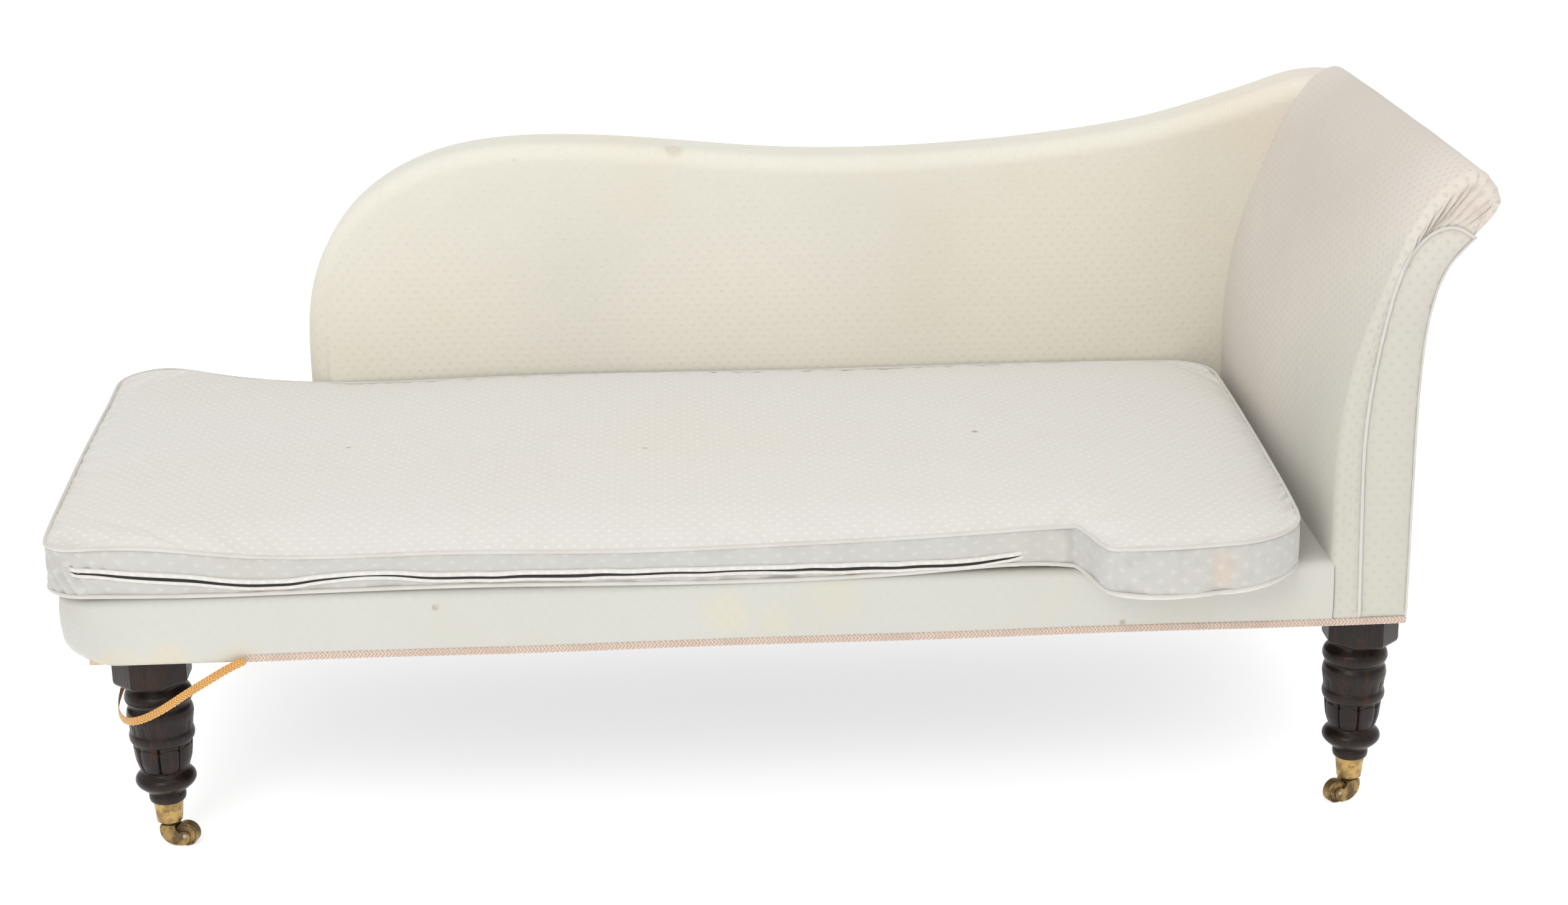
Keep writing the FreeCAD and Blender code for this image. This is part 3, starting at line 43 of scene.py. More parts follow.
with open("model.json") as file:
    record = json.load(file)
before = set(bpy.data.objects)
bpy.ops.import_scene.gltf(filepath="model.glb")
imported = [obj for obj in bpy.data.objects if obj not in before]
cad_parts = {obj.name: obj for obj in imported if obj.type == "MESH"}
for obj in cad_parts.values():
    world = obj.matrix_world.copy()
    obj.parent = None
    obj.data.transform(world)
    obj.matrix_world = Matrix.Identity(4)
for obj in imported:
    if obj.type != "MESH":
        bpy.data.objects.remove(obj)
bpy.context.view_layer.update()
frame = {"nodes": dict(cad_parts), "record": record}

# Places of the couch, in metres: X towards the arm, Y towards the back, Z up
FRONT, BACK, BACK_FACE = -0.35375, 0.45825, 0.37225
FOOT, ARM_IN, ARM_OUT, HEAD = -0.877, 0.716, 0.8155, 0.915
APRON, DECK = 0.270, 0.357
BACK_FOOT = -0.644
LEG_X, LEG_FRONT, LEG_BACK = 0.768, -0.29375, 0.39825
BLOCK_BASE, CUP_MOUTH = 0.228, 0.062

# Outline of the arm: share of its reach, share of its rise, from the seat up over the roll and down outside
ARM_SHARES = [
    (0.000, 0.000), (0.000, 0.170), (0.000, 0.345), (0.035, 0.492), (0.130, 0.637),
    (0.302, 0.795), (0.472, 0.915), (0.653, 0.980), (0.800, 1.000), (0.925, 0.965),
    (0.960, 0.930), (0.900, 0.893), (0.800, 0.858), (0.650, 0.800), (0.565, 0.725),
    (0.513, 0.590), (0.500, 0.430), (0.500, 0.250), (0.500, 0.000),
]
FACING_SHARES = [
    (0.196, 0.000), (0.176, 0.290), (0.176, 0.433), (0.221, 0.584), (0.286, 0.705),
    (0.387, 0.813), (0.513, 0.867), (0.668, 0.882), (0.800, 0.858),
]
ROLL_END = 12
ARM_TOP = 0.857
HUMP, DIP, PEAK = 0.765, 0.737, 0.843


def length_prop(name, text, default, least, most):
    """A length that a user may change."""
    return bpy.props.FloatProperty(
        name=name, description=text, default=default, min=least, max=most, unit="LENGTH")


def colour_prop(name, text, default):
    """A colour that a user may change."""
    return bpy.props.FloatVectorProperty(
        name=name, description=text, subtype="COLOR", default=default, min=0, max=1)


class CouchSizes(bpy.types.PropertyGroup):
    """Sizes of the soft work that a user would change."""

    crown: length_prop("Cushion crown", "Rise of the cushion's top above its edge", 0.011, 0.0, 0.03)
    swell: length_prop("Swell", "How far the simulated cushion cover may move", 0.009, 0.0, 0.02)
    back_round: length_prop("Back rounding", "Radius along the back's front edge", 0.028, 0.01, 0.04)
    pleats: length_prop("Pleat height", "Height of the pleats over the scroll", 0.0032, 0.0, 0.006)
    spot_pitch: length_prop("Spot pitch", "Distance between the damask's spots in a row", 0.0175, 0.01, 0.05)


class CouchColours(bpy.types.PropertyGroup):
    """Colours that a user would change."""

    cover: colour_prop("Cover", "Ground of the fixed covers", (0.70, 0.675, 0.595))
    arm: colour_prop("Arm", "Ground of the arm's cover, greyer with use", (0.635, 0.590, 0.530))
    # The apron's and the boxing's grounds are set darker than the cover's and the cushion's as painted shade,
    # which tones down the key lamp's light on these upright faces.
    apron: colour_prop("Apron", "Ground of the seat's apron", (0.545, 0.540, 0.500))
    boxing: colour_prop("Boxing", "Ground of the cushion's boxing, cooler", (0.500, 0.490, 0.460))
    cushion: colour_prop("Cushion", "Ground of the loose cushion", (0.655, 0.635, 0.600))
    gimp: colour_prop("Gimp", "Braid along the lower edge", (0.70, 0.58, 0.48))
    gold: colour_prop("Torn braid", "Braid that hangs loose", (0.76, 0.42, 0.12))
    wood: colour_prop("Leg wood", "Dark polish of the legs", (0.010, 0.0055, 0.004))
    brass: colour_prop("Brass", "Brass of the castors", (0.48, 0.32, 0.12))


# Curves and surfaces

def arm_points(shares):
    """Points in X and Z from shares of the arm's reach and of its rise over the lower edge."""
    return np.array([ARM_IN, APRON]) + np.array(shares) * np.array([HEAD - ARM_IN, ARM_TOP - APRON])


def unit(vectors):
    """Vectors brought to a length of 1."""
    return vectors / np.linalg.norm(vectors, axis=-1, keepdims=True)


def spread(x, y, z):
    """Points from three coordinates, each an array or one number for all of them."""
    return np.stack(np.broadcast_arrays(x, y, z), axis=-1)


def uv_grid(along, across):
    """A UV map in metres from the distances along the rows and along the columns."""
    return np.stack(np.meshgrid(along, across), axis=2)


def mean_run(grid, axis):
    """Distance travelled along one axis of a grid of points, as the mean over the other."""
    steps = np.linalg.norm(np.diff(grid, axis=axis), axis=2).mean(axis=1 - axis)
    return np.concatenate([[0.0], np.cumsum(steps)])


def knots_of(points):
    """Distance travelled along straight runs between points, at each point."""
    return np.concatenate([[0.0], np.cumsum(np.linalg.norm(np.diff(points, axis=0), axis=1))])


def curve(points, places):
    """The natural cubic through points, at places counted in points and shares between them.

    Between two knots a distance h apart, with second derivatives m0 and m1 and a = 1 - b the share left:
    p = a p0 + b p1 + ((a^3 - a) m0 + (b^3 - b) m1) h^2 / 6, and m makes the slopes agree at each knot.
    """
    points = np.asarray(points, float)
    knots = knots_of(points)
    count, run = len(points), np.diff(knots)
    matrix = np.eye(count)
    right = np.zeros_like(points)
    inner = np.arange(1, count - 1)
    matrix[inner, inner - 1] = run[:-1] / 6
    matrix[inner, inner] = (run[:-1] + run[1:]) / 3
    matrix[inner, inner + 1] = run[1:] / 6
    slope = np.diff(points, axis=0) / run[:, None]
    right[1:-1] = slope[1:] - slope[:-1]
    bend = np.linalg.solve(matrix, right)
    places = np.clip(np.asarray(places, float), 0, count - 1)
    low = np.minimum(places.astype(int), count - 2)
    b = (places - low)[:, None]
    a, h = 1 - b, run[low][:, None]
    return a * points[low] + b * points[low + 1] + (
        (a ** 3 - a) * bend[low] + (b ** 3 - b) * bend[low + 1]) * h ** 2 / 6


def even(points, count, first=0.0, last=None):
    """Places spaced evenly by distance between two places of a line of points."""
    knots = knots_of(np.asarray(points, float))
    index = np.arange(len(knots))
    last = index[-1] if last is None else last
    ends = np.interp([first, last], index, knots)
    return np.interp(np.linspace(ends[0], ends[1], count), knots, index)


def right_of(line):
    """Unit normals to the right of travel: the slope (dx, dz) turned to (dz, -dx)."""
    slope = unit(np.gradient(line, axis=0))
    return np.stack([slope[:, 1], -slope[:, 0]], axis=1)


def smooth(value):
    """3t^2 - 2t^3 with t held between 0 and 1."""
    t = np.clip(value, 0, 1)
    return t * t * (3 - 2 * t)


def bump(value, centre, width):
    """exp(-((v - c) / w)^2)."""
    return np.exp(-((value - centre) / width) ** 2)


def ripple(x, y, seed):
    """A quiet wander between -1 and 1: the mean of five sines whose directions and lengths follow a seed."""
    rng = np.random.default_rng(seed)
    total = 0.0
    for _ in range(5):
        turn, wave, start = rng.uniform(0, 2 * math.pi), rng.uniform(0.12, 0.5), rng.uniform(0, 6.28)
        total = total + np.sin((x * math.cos(turn) + y * math.sin(turn)) * 2 * math.pi / wave + start)
    return total / 5


class Patch:
    """A grid of points with a UV map in metres, which may close on itself along its rows or columns."""

    def __init__(self, points, uv=None, close_rows=False, close_columns=False, finish=0):
        self.points = np.asarray(points, float)
        rows, columns = self.points.shape[:2]
        index = np.arange(rows * columns).reshape(rows, columns)
        if close_rows:
            index = np.concatenate([index, index[:1]], axis=0)
        if close_columns:
            index = np.concatenate([index, index[:, :1]], axis=1)
        self.index = index
        self.uv = self.measured(close_rows, close_columns) if uv is None else np.asarray(uv, float)
        self.finish = finish

    def measured(self, close_rows, close_columns):
        """UV in metres: the distance along each row and column, each as the mean over the grid."""
        grid = self.points
        if close_rows:
            grid = np.concatenate([grid, grid[:1]], axis=0)
        if close_columns:
            grid = np.concatenate([grid, grid[:, :1]], axis=1)
        return uv_grid(mean_run(grid, 1), mean_run(grid, 0))


def seal(mesh, merge=0.0, fill=False):
    """Merges points within a distance, closes open ends if asked, and turns every face outward."""
    work = bmesh.new()
    work.from_mesh(mesh)
    if merge:
        bmesh.ops.remove_doubles(work, verts=work.verts, dist=merge)
    if fill:
        bmesh.ops.holes_fill(work, edges=work.edges, sides=0)
    bmesh.ops.recalc_face_normals(work, faces=work.faces)
    work.to_mesh(mesh)
    work.free()


def piece_of(name, patches, merge=0.0, flip=False):
    """One mesh object from patches: four corners a face, with its UV map, its seams merged if asked."""
    points, faces, uvs, finishes = [], [], [], []
    start = 0
    for patch in patches:
        quads, corners = (
            np.stack([grid[:-1, :-1], grid[:-1, 1:], grid[1:, 1:], grid[1:, :-1]], axis=2)
            for grid in (patch.index, patch.uv))
        quads, corners = quads.reshape(-1, 4), corners.reshape(-1, 4, 2)
        if flip:
            quads, corners = quads[:, ::-1], corners[:, ::-1]
        points.append(patch.points.reshape(-1, 3))
        faces.append(quads + start)
        uvs.append(corners.reshape(-1, 2))
        finishes.append(np.full(len(quads), patch.finish))
        start += patch.points.shape[0] * patch.points.shape[1]
    points, faces, uvs = np.concatenate(points), np.concatenate(faces), np.concatenate(uvs)
    mesh = bpy.data.meshes.new(name)
    mesh.from_pydata(points.tolist(), [], faces.tolist())
    layer = mesh.uv_layers.new(name="cloth")
    layer.data.foreach_set("uv", uvs.astype(np.float32).ravel())
    mesh.polygons.foreach_set("material_index", np.concatenate(finishes).astype(np.int32))
    mesh.polygons.foreach_set("use_smooth", np.ones(len(faces), bool))
    if merge:
        seal(mesh, merge)
    mesh.update()
    piece = bpy.data.objects.new(name, mesh)
    bpy.context.scene.collection.objects.link(piece)
    return piece


def coordinates(mesh):
    """All points of a mesh as an array."""
    flat = np.empty(len(mesh.vertices) * 3, np.float32)
    mesh.vertices.foreach_get("co", flat)
    return flat.reshape(-1, 3).astype(float)


def frames_along(path, up):
    """Two unit directions square to a path: its slope crossed with a rough up, and that crossed back."""
    slope = unit(np.gradient(path, axis=0))
    side = unit(np.cross(slope, np.broadcast_to(up, slope.shape)))
    return side, np.cross(side, slope)


def round_tube(path, radius, sides=10, up=(0, 0, 1), closed=False):
    """A tube: centre + r (cos a side + sin a over), with both ends drawn to a point unless it is closed."""
    path = np.asarray(path, float)
    if closed:
        wide = np.concatenate([path[-2:], path, path[:2]])
        side, over = (part[2:-2] for part in frames_along(wide, up))
    else:
        side, over = frames_along(path, up)
    angle = np.linspace(0, 2 * math.pi, sides, endpoint=False)
    radius = np.broadcast_to(radius, (len(path),)).astype(float).copy()
    if not closed:
        radius[0] = radius[-1] = 1e-5
    ring = np.cos(angle)[None, :, None] * side[:, None] + np.sin(angle)[None, :, None] * over[:, None]
    points = path[:, None] + radius[:, None, None] * ring
    return Patch(points, close_rows=closed, close_columns=True)


# Shader maths

class Wire:
    """A shader socket in an expression: each operator adds the Math node that it names."""

    def __init__(self, finish, socket):
        self.finish = finish
        self.socket = socket

    def maths(self, operation, *values, clamp=False):
        inputs = dict(enumerate((self,) + values))
        return self.finish.node("ShaderNodeMath", {"operation": operation, "use_clamp": clamp}, inputs)

    def __add__(self, other):
        return self.maths("ADD", other)

    __radd__ = __add__

    def __mul__(self, other):
        return self.maths("MULTIPLY", other)

    __rmul__ = __mul__

    def __sub__(self, other):
        return self.maths("SUBTRACT", other)

    def __rsub__(self, other):
        return (self * -1.0) + other

    def __truediv__(self, other):
        return self.maths("DIVIDE", other)

    def __abs__(self):
        return self.maths("ABSOLUTE")


class Finish:
    """A procedural material: its node method, and the shader that its name stands for."""

    def __init__(self, name, rough=0.8, metal=0.0):
        self.material = bpy.data.materials.new(name)
        self.material.use_nodes = True
        self.tree = self.material.node_tree
        self.tree.nodes.clear()
        self.shader = self.tree.nodes.new("ShaderNodeBsdfPrincipled")
        output = self.tree.nodes.new("ShaderNodeOutputMaterial")
        self.tree.links.new(self.shader.outputs[0], output.inputs[0])
        self.feed(Roughness=rough, Metallic=metal)

    def feed(self, **values):
        """Sets or links the shader's sockets; an underscore in a name stands for a space."""
        for name, value in values.items():
            self.give(self.shader.inputs[name.replace("_", " ")], value)

    def give(self, socket, value):
        if isinstance(value, Wire):
            self.tree.links.new(value.socket, socket)
        elif isinstance(value, (tuple, list)) and len(value) == 3 and socket.type == "RGBA":
            socket.default_value = (*value, 1.0)
        else:
            socket.default_value = value

    def node(self, kind, settings=None, inputs=None, output=0):
        """Adds a node: its settings first, a ramp's stops among them, then its sockets' values or links."""
        made = self.tree.nodes.new(kind)
        for name, value in (settings or {}).items():
            if name == "stops":
                elements = made.color_ramp.elements
                while len(elements) < len(value):
                    elements.new(0.5)
                for element, (position, colour) in zip(elements, value):
                    element.position = position
                    element.color = (*colour, 1.0)
            else:
                setattr(made, name, value)
        for name, value in (inputs or {}).items():
            self.give(made.inputs[name], value)
        return Wire(self, made.outputs[output])

    def mix(self, share, first, second):
        """Blends two colours by a share."""
        return self.node("ShaderNodeMix", {"data_type": "RGBA"}, {0: share, 6: first, 7: second}, 2)

    def place(self):
        """Object coordinates, in metres."""
        return self.node("ShaderNodeTexCoord", output=3)

    def cloth(self):
        """The piece's own UV map, in metres."""
        return self.node("ShaderNodeUVMap", {"uv_map": "cloth"})

    def parts(self, vector):
        """The three numbers of a vector."""
        split = self.tree.nodes.new("ShaderNodeSeparateXYZ")
        self.tree.links.new(vector.socket, split.inputs[0])
        return [Wire(self, socket) for socket in split.outputs]

    def stretched(self, vector, scale):
        return self.node("ShaderNodeMapping", None, {"Vector": vector, "Scale": scale})

    def noise(self, vector, scale, detail=3.0, rough=0.5, output=0):
        return self.node(
            "ShaderNodeTexNoise", None,
            {"Vector": vector, "Scale": scale, "Detail": detail, "Roughness": rough}, output)

    def between(self, value, low, high):
        """0 below a low value, 1 above a high one, eased between them."""
        return self.node(
            "ShaderNodeMapRange", {"interpolation_type": "SMOOTHSTEP"},
            {"Value": value, "From Min": low, "From Max": high, "To Min": 0.0, "To Max": 1.0})

    def near(self, vector, centre, radius):
        """1 at a point of the couch, fading to 0 at a radius."""
        far = self.node("ShaderNodeVectorMath", {"operation": "DISTANCE"}, {0: vector, 1: centre}, 1)
        return 1.0 - self.between(far, radius * 0.35, radius)

    def relief(self, height, depth, over=None):
        """A Bump node of a height whose full step is a depth in metres."""
        inputs = {"Height": height, "Distance": depth, "Strength": 1.0}
        if over is not None:
            inputs["Normal"] = over
        return self.node("ShaderNodeBump", None, inputs)


def set_up(piece, finish, body="frame", replaces=()):
    """Gives a piece its finish, the body that it rides on and the nodes that it stands for."""
    finishes = finish if isinstance(finish, (list, tuple)) else [finish]
    for one in finishes:
        piece.data.materials.append(one.material)
    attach(piece, body)
    if replaces:
        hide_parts(*replaces)


def paint(nodes, finish):
    """Puts a finish on CAD nodes whose shape is right."""
    for name in nodes:
        piece = frame["nodes"][name]
        piece.data.materials.clear()
        piece.data.materials.append(finish.material)


# Finishes

def shade(colour, by):
    """A colour times one number, or times three."""
    return tuple(np.multiply(colour, by).tolist())


def wave_of(value, length):
    """A sine of a distance that repeats after a length, between 0 and 1."""
    return (value * (2 * math.pi / length)).maths("SINE") * 0.5 + 0.5


def spots(finish, u, v, pitch, row, wide, tall):
    """Small lozenges in staggered rows, each a ring round a dot, as a mask from 0 to 1."""
    line = v / row
    number = line.maths("FLOOR")
    shift = number.maths("MODULO", 2.0) * 0.5
    across = abs((u / pitch + shift).maths("FRACT") - 0.5) * pitch
    upward = abs(line.maths("FRACT") - 0.5) * row
    reach = across / wide + upward / tall
    body = 1.0 - finish.between(reach, 0.85, 1.15)
    hollow = (1.0 - finish.between(abs(reach - 0.55), 0.06, 0.18)) * 0.45
    return body - hollow * body


THREAD = 0.0011
WARP_REACH = 0.09


def damask(name, colour, spot, pitch, marks, soil, spot_lift):
    """Woven cotton with a tonal spot, slightly soiled, with soft marks at points of the couch: stains, and on
    the back and arm a few of painted light and painted shade.

    spot is (row, half width, half height) in metres, and a mark is (centre, radius, colour, strength).
    A mark wider than 20 mm has its edge shifted by noise, so that it is no circle.
    """
    finish = Finish(name, rough=0.82)
    place, uv = finish.place(), finish.cloth()
    u, v, _ = finish.parts(uv)
    figure = spots(finish, u, v, pitch, *spot)
    cloudy = finish.noise(place, 2.6, 4.0, 0.55)
    fine = finish.noise(place, 38.0, 3.0, 0.6)
    warm, grey = shade(colour, (0.97, 0.925, 0.82)), shade(colour, (0.93, 0.93, 0.94))
    tint = finish.mix(finish.between(cloudy, 0.42, 0.72) * soil, colour, warm)
    tint = finish.mix(finish.between(fine, 0.5, 0.8) * 0.25, tint, grey)
    warped = finish.node(
        "ShaderNodeVectorMath", {"operation": "MULTIPLY_ADD"},
        {0: finish.noise(place, 9.0, 3.0, 0.6, 1), 1: (WARP_REACH,) * 3, 2: place})
    warped = finish.node(
        "ShaderNodeVectorMath", {"operation": "SUBTRACT"}, {0: warped, 1: (WARP_REACH / 2,) * 3})
    for centre, radius, mark, strength in marks:
        spread = warped if radius > 0.02 else place
        tint = finish.mix(finish.near(spread, centre, radius) * strength, tint, mark)
    tint = finish.mix(figure * 0.55, tint, shade(colour, 1 + spot_lift))
    threads = wave_of(u, THREAD) * wave_of(v, THREAD)
    tint = finish.mix(threads * 0.05, tint, grey)
    finish.feed(
        Base_Color=tint,
        Roughness=0.86 - figure * 0.22,
        Sheen_Weight=0.25,
        Sheen_Roughness=0.4,
        Specular_IOR_Level=0.3,
    )
    soft = finish.noise(place, 60.0, 3.0, 0.5)
    finish.feed(Normal=finish.relief(threads, 0.00012, finish.relief(figure + soft * 0.8, 0.00022)))
    return finish


def corded(name, colour, twist):
    """Cloth-covered piping: bias threads that run round the cord, mottled a touch darker."""
    finish = Finish(name, rough=0.85)
    u, v, _ = finish.parts(finish.cloth())
    place = finish.place()
    ridges = wave_of(u + v, twist)
    cloudy = finish.noise(place, 14.0, 3.0, 0.6)
    worn = shade(colour, (0.9, 0.86, 0.8))
    tint = finish.mix(finish.between(cloudy, 0.4, 0.7) * 0.6, colour, worn)
    finish.feed(Base_Color=finish.mix(ridges * 0.12, tint, worn), Sheen_Weight=0.2)
    finish.feed(Normal=finish.relief(ridges, 0.00015))
    return finish


def braided(name, colour, dark, pitch):
    """Woven braid 10 mm wide: threads that meet on its middle line, and loops along both edges."""
    finish = Finish(name, rough=0.8)
    u, v, _ = finish.parts(finish.cloth())
    aside = abs(v - 0.005)
    slant = wave_of(u + aside, pitch)
    edge = finish.between(aside, 0.003, 0.0045)
    loops = wave_of(u, pitch * 1.5)
    cloudy = finish.noise(finish.place(), 30.0, 3.0, 0.6)
    height = slant * (1.0 - edge) + loops * edge
    tint = finish.mix(1.0 - height, colour, dark)
    tint = finish.mix(finish.between(cloudy, 0.4, 0.75) * 0.35, tint, dark)
    finish.feed(Base_Color=tint, Sheen_Weight=0.3, Normal=finish.relief(height, 0.0006))
    return finish


def polished_wood(name, colour):
    """Dark polish over a long reddish grain, worn thin and duller in scattered patches."""
    finish = Finish(name, rough=0.35)
    place = finish.place()
    grain = finish.noise(finish.stretched(place, (90.0, 90.0, 9.0)), 1.6, 5.0, 0.6)
    pores = finish.noise(finish.stretched(place, (700.0, 700.0, 30.0)), 1.0, 2.0, 0.5)
    red = (colour[0] * 3.2 + 0.01, colour[1] * 2.0 + 0.002, colour[2] * 1.3)
    tint = finish.mix(finish.between(grain, 0.45, 0.72) * 0.55, colour, red)
    tint = finish.mix(finish.between(pores, 0.55, 0.7) * 0.6, tint, (0.006, 0.003, 0.003))
    worn = finish.between(finish.noise(place, 34.0, 4.0, 0.65), 0.56, 0.72)
    tint = finish.mix(worn * 0.35, tint, (0.10, 0.040, 0.018))
    finish.feed(
        Base_Color=tint, Roughness=0.34 + worn * 0.25 + grain * 0.12, Coat_Roughness=0.16,
        Coat_Weight=0.10 - worn * 0.08, Specular_IOR_Level=0.22)
    finish.feed(Normal=finish.relief(grain * 0.6 + pores * 0.4, 0.00022))
    return finish


def aged_brass(name, colour):
    """Cast brass, brown-black in its patina and brighter where it is rubbed."""
    finish = Finish(name, rough=0.35, metal=1.0)
    place = finish.place()
    broad = finish.noise(place, 55.0, 4.0, 0.65)
    grit = finish.noise(place, 420.0, 3.0, 0.6)
    patina = finish.between(broad, 0.42, 0.62)
    height = finish.parts(place)[2]
    low = 1.0 - finish.between(height, 0.028, 0.040)
    dirty = (patina * 0.55 + low * 0.35).maths("ADD", finish.between(grit, 0.55, 0.75) * 0.2, clamp=True)
    tint = finish.mix(dirty, colour, (0.085, 0.055, 0.026))
    finish.feed(Base_Color=tint, Roughness=0.3 + dirty * 0.35, Metallic=1.0 - dirty * 0.45)
    finish.feed(Normal=finish.relief(grit, 0.0001))
    return finish


def dull_steel(name):
    """Turned steel with fine rings and specks of rust."""
    finish = Finish(name, rough=0.4, metal=1.0)
    place = finish.place()
    rust = finish.between(finish.noise(place, 160.0, 4.0, 0.6), 0.56, 0.7)
    rings = finish.noise(finish.stretched(place, (40.0, 40.0, 2500.0)), 1.0, 2.0, 0.5)
    tint = finish.mix(rust, (0.36, 0.35, 0.33), (0.11, 0.05, 0.025))
    finish.feed(Base_Color=tint, Roughness=0.35 + rust * 0.4, Normal=finish.relief(rings, 0.00005))
    return finish


def beech(name):
    """Planed beech: fine long grain with short brown flecks."""
    finish = Finish(name, rough=0.6)
    place = finish.place()
    grain = finish.noise(finish.stretched(place, (14.0, 90.0, 90.0)), 1.0, 4.0, 0.6)
    flecks = finish.noise(finish.stretched(place, (160.0, 900.0, 900.0)), 1.0, 2.0, 0.5)
    tint = finish.mix(grain, (0.52, 0.36, 0.21), (0.62, 0.46, 0.29))
    tint = finish.mix(finish.between(flecks, 0.6, 0.7) * 0.5, tint, (0.33, 0.19, 0.10))
    finish.feed(Base_Color=tint, Normal=finish.relief(grain, 0.0002))
    return finish


def coarse_cloth(name, colour, thread, gaps):
    """Open woven jute or linen, from Object coordinates: ridges both ways and dark gaps between them."""
    finish = Finish(name, rough=0.9)
    place = finish.place()
    x, y, z = finish.parts(place)
    height = wave_of(x, thread).maths("MAXIMUM", wave_of(y + z, thread))
    hairy = finish.noise(place, 300.0, 3.0, 0.6)
    tint = finish.mix((1.0 - height) * gaps, colour, shade(colour, 0.35))
    tint = finish.mix(hairy * 0.3, tint, shade(colour, 0.7))
    finish.feed(Base_Color=tint, Normal=finish.relief(height + hairy * 0.5, 0.0005))
    return finish


def hair_pad(name, colour):
    """Curled hair: tangled fine strands as stretched noise crossed with itself."""
    finish = Finish(name, rough=0.95)
    place = finish.place()
    one = finish.noise(finish.stretched(place, (60.0, 420.0, 300.0)), 1.0, 3.0, 0.7)
    two = finish.noise(finish.stretched(place, (420.0, 60.0, 90.0)), 1.0, 3.0, 0.7)
    strands = one.maths("MAXIMUM", two)
    tint = finish.mix(finish.between(strands, 0.5, 0.7), shade(colour, 0.4), colour)
    finish.feed(Base_Color=tint, Normal=finish.relief(strands, 0.002))
    return finish


# Fixed covers

def back_outline():
    """Points of the back's edge in X and Z, from its foot over the hump, dip and peak to its head tip.

    The rounded foot is x = 1 - cos^(2/p), z = sin^(2/p) of a turn; hump to dip is half a cosine wave.
    """
    power, drop, run, to_dip = 2.35, 0.306, 0.352, 0.435
    turn = np.radians([0, 14, 28, 42, 56, 72])
    foot = np.stack([
        BACK_FOOT + run * (1 - np.cos(turn) ** (2 / power)),
        HUMP - drop + drop * np.sin(turn) ** (2 / power),
    ], axis=1)
    share = np.linspace(0, 1, 5)
    wave = np.stack([
        BACK_FOOT + run + share * to_dip,
        DIP + (HUMP - DIP) * (1 + np.cos(np.pi * share)) / 2,
    ], axis=1)
    dip_x, peak_x = BACK_FOOT + run + to_dip, HEAD - 0.051
    rise = np.array([
        (0.25, 0.05), (0.51, 0.22), (0.64, 0.37), (0.77, 0.61), (0.86, 0.80), (0.93, 0.95), (1, 1)])
    climb = np.stack([dip_x + rise[:, 0] * (peak_x - dip_x), DIP + rise[:, 1] * (PEAK - DIP)], axis=1)
    start = [(BACK_FOOT, DECK), (BACK_FOOT, (DECK + HUMP - drop) / 2)]
    tip = [(HEAD - 0.0255, PEAK - 0.0046), (HEAD, PEAK - 0.023)]
    return np.concatenate([start, foot, wave, climb, tip])


def back_rim(count, side_count):
    """The back's edge, then down its head side behind the arm, and how far each point is rounded over."""
    edge = back_outline()
    top = curve(edge, even(edge, count))
    arm = arm_points(ARM_SHARES)
    outer = curve(arm, even(arm, side_count, ROLL_END + 0.4, 17.3))
    outer = outer + 0.0063 * right_of(outer)
    inward = np.concatenate([right_of(top), right_of(outer)])
    share = np.concatenate([np.ones(count), smooth(1 - np.arange(side_count) / (side_count * 0.25))])
    return np.concatenate([top, outer]), inward, share


def make_back(sizes, cover):
    """Inside back: the rim strip, a quarter round r(1 - cos a), r(1 - sin a), then rows that fan to the deck.

    A row at share w runs from the rounded rim to the deck line: p = (1 - w) rim + w base, with a padded
    swell of 5 mm sin(pi w) in front, and a shallow pull towards the arm.
    """
    radius = sizes.back_round
    rim, inward, share = back_rim(300, 70)
    places = knots_of(rim)
    places /= places[-1]
    base_x = BACK_FOOT + radius + (ARM_OUT - 0.012 - BACK_FOOT - radius) * smooth(places * 0.9 + 0.05)
    rows = []
    for depth in np.linspace(BACK - 0.0045, BACK_FACE + radius, 8):
        rows.append(spread(rim[:, 0], depth, rim[:, 1]))
    for angle in np.linspace(0, math.pi / 2, 12)[1:]:
        pull = radius * (1 - math.cos(angle)) * share
        line = rim + inward * pull[:, None]
        depth = BACK_FACE + radius * (1 - math.sin(angle))
        rows.append(spread(line[:, 0], depth, line[:, 1]))
    edge = rows[-1]
    for w in np.linspace(0, 1, 60)[1:]:
        x = (1 - w) * edge[:, 0] + w * base_x
        z = (1 - w) * edge[:, 2] + w * (DECK - 0.004)
        calm = smooth((ARM_IN - x) / 0.2)
        y = BACK_FACE - 0.005 * math.sin(math.pi * w ** 0.8) * calm
        y = y + 0.0007 * ripple(x, z, 3) * min(1.0, 6 * w) * calm
        rows.append(spread(x, y, z))
    points = np.array(rows)
    flat = np.stack([points[..., 0], points[..., 2] + (BACK_FACE - points[..., 1])], axis=2)
    piece = piece_of("back_inside", [Patch(points, uv=flat)])
    set_up(piece, cover, replaces=("back_inside_cover",))


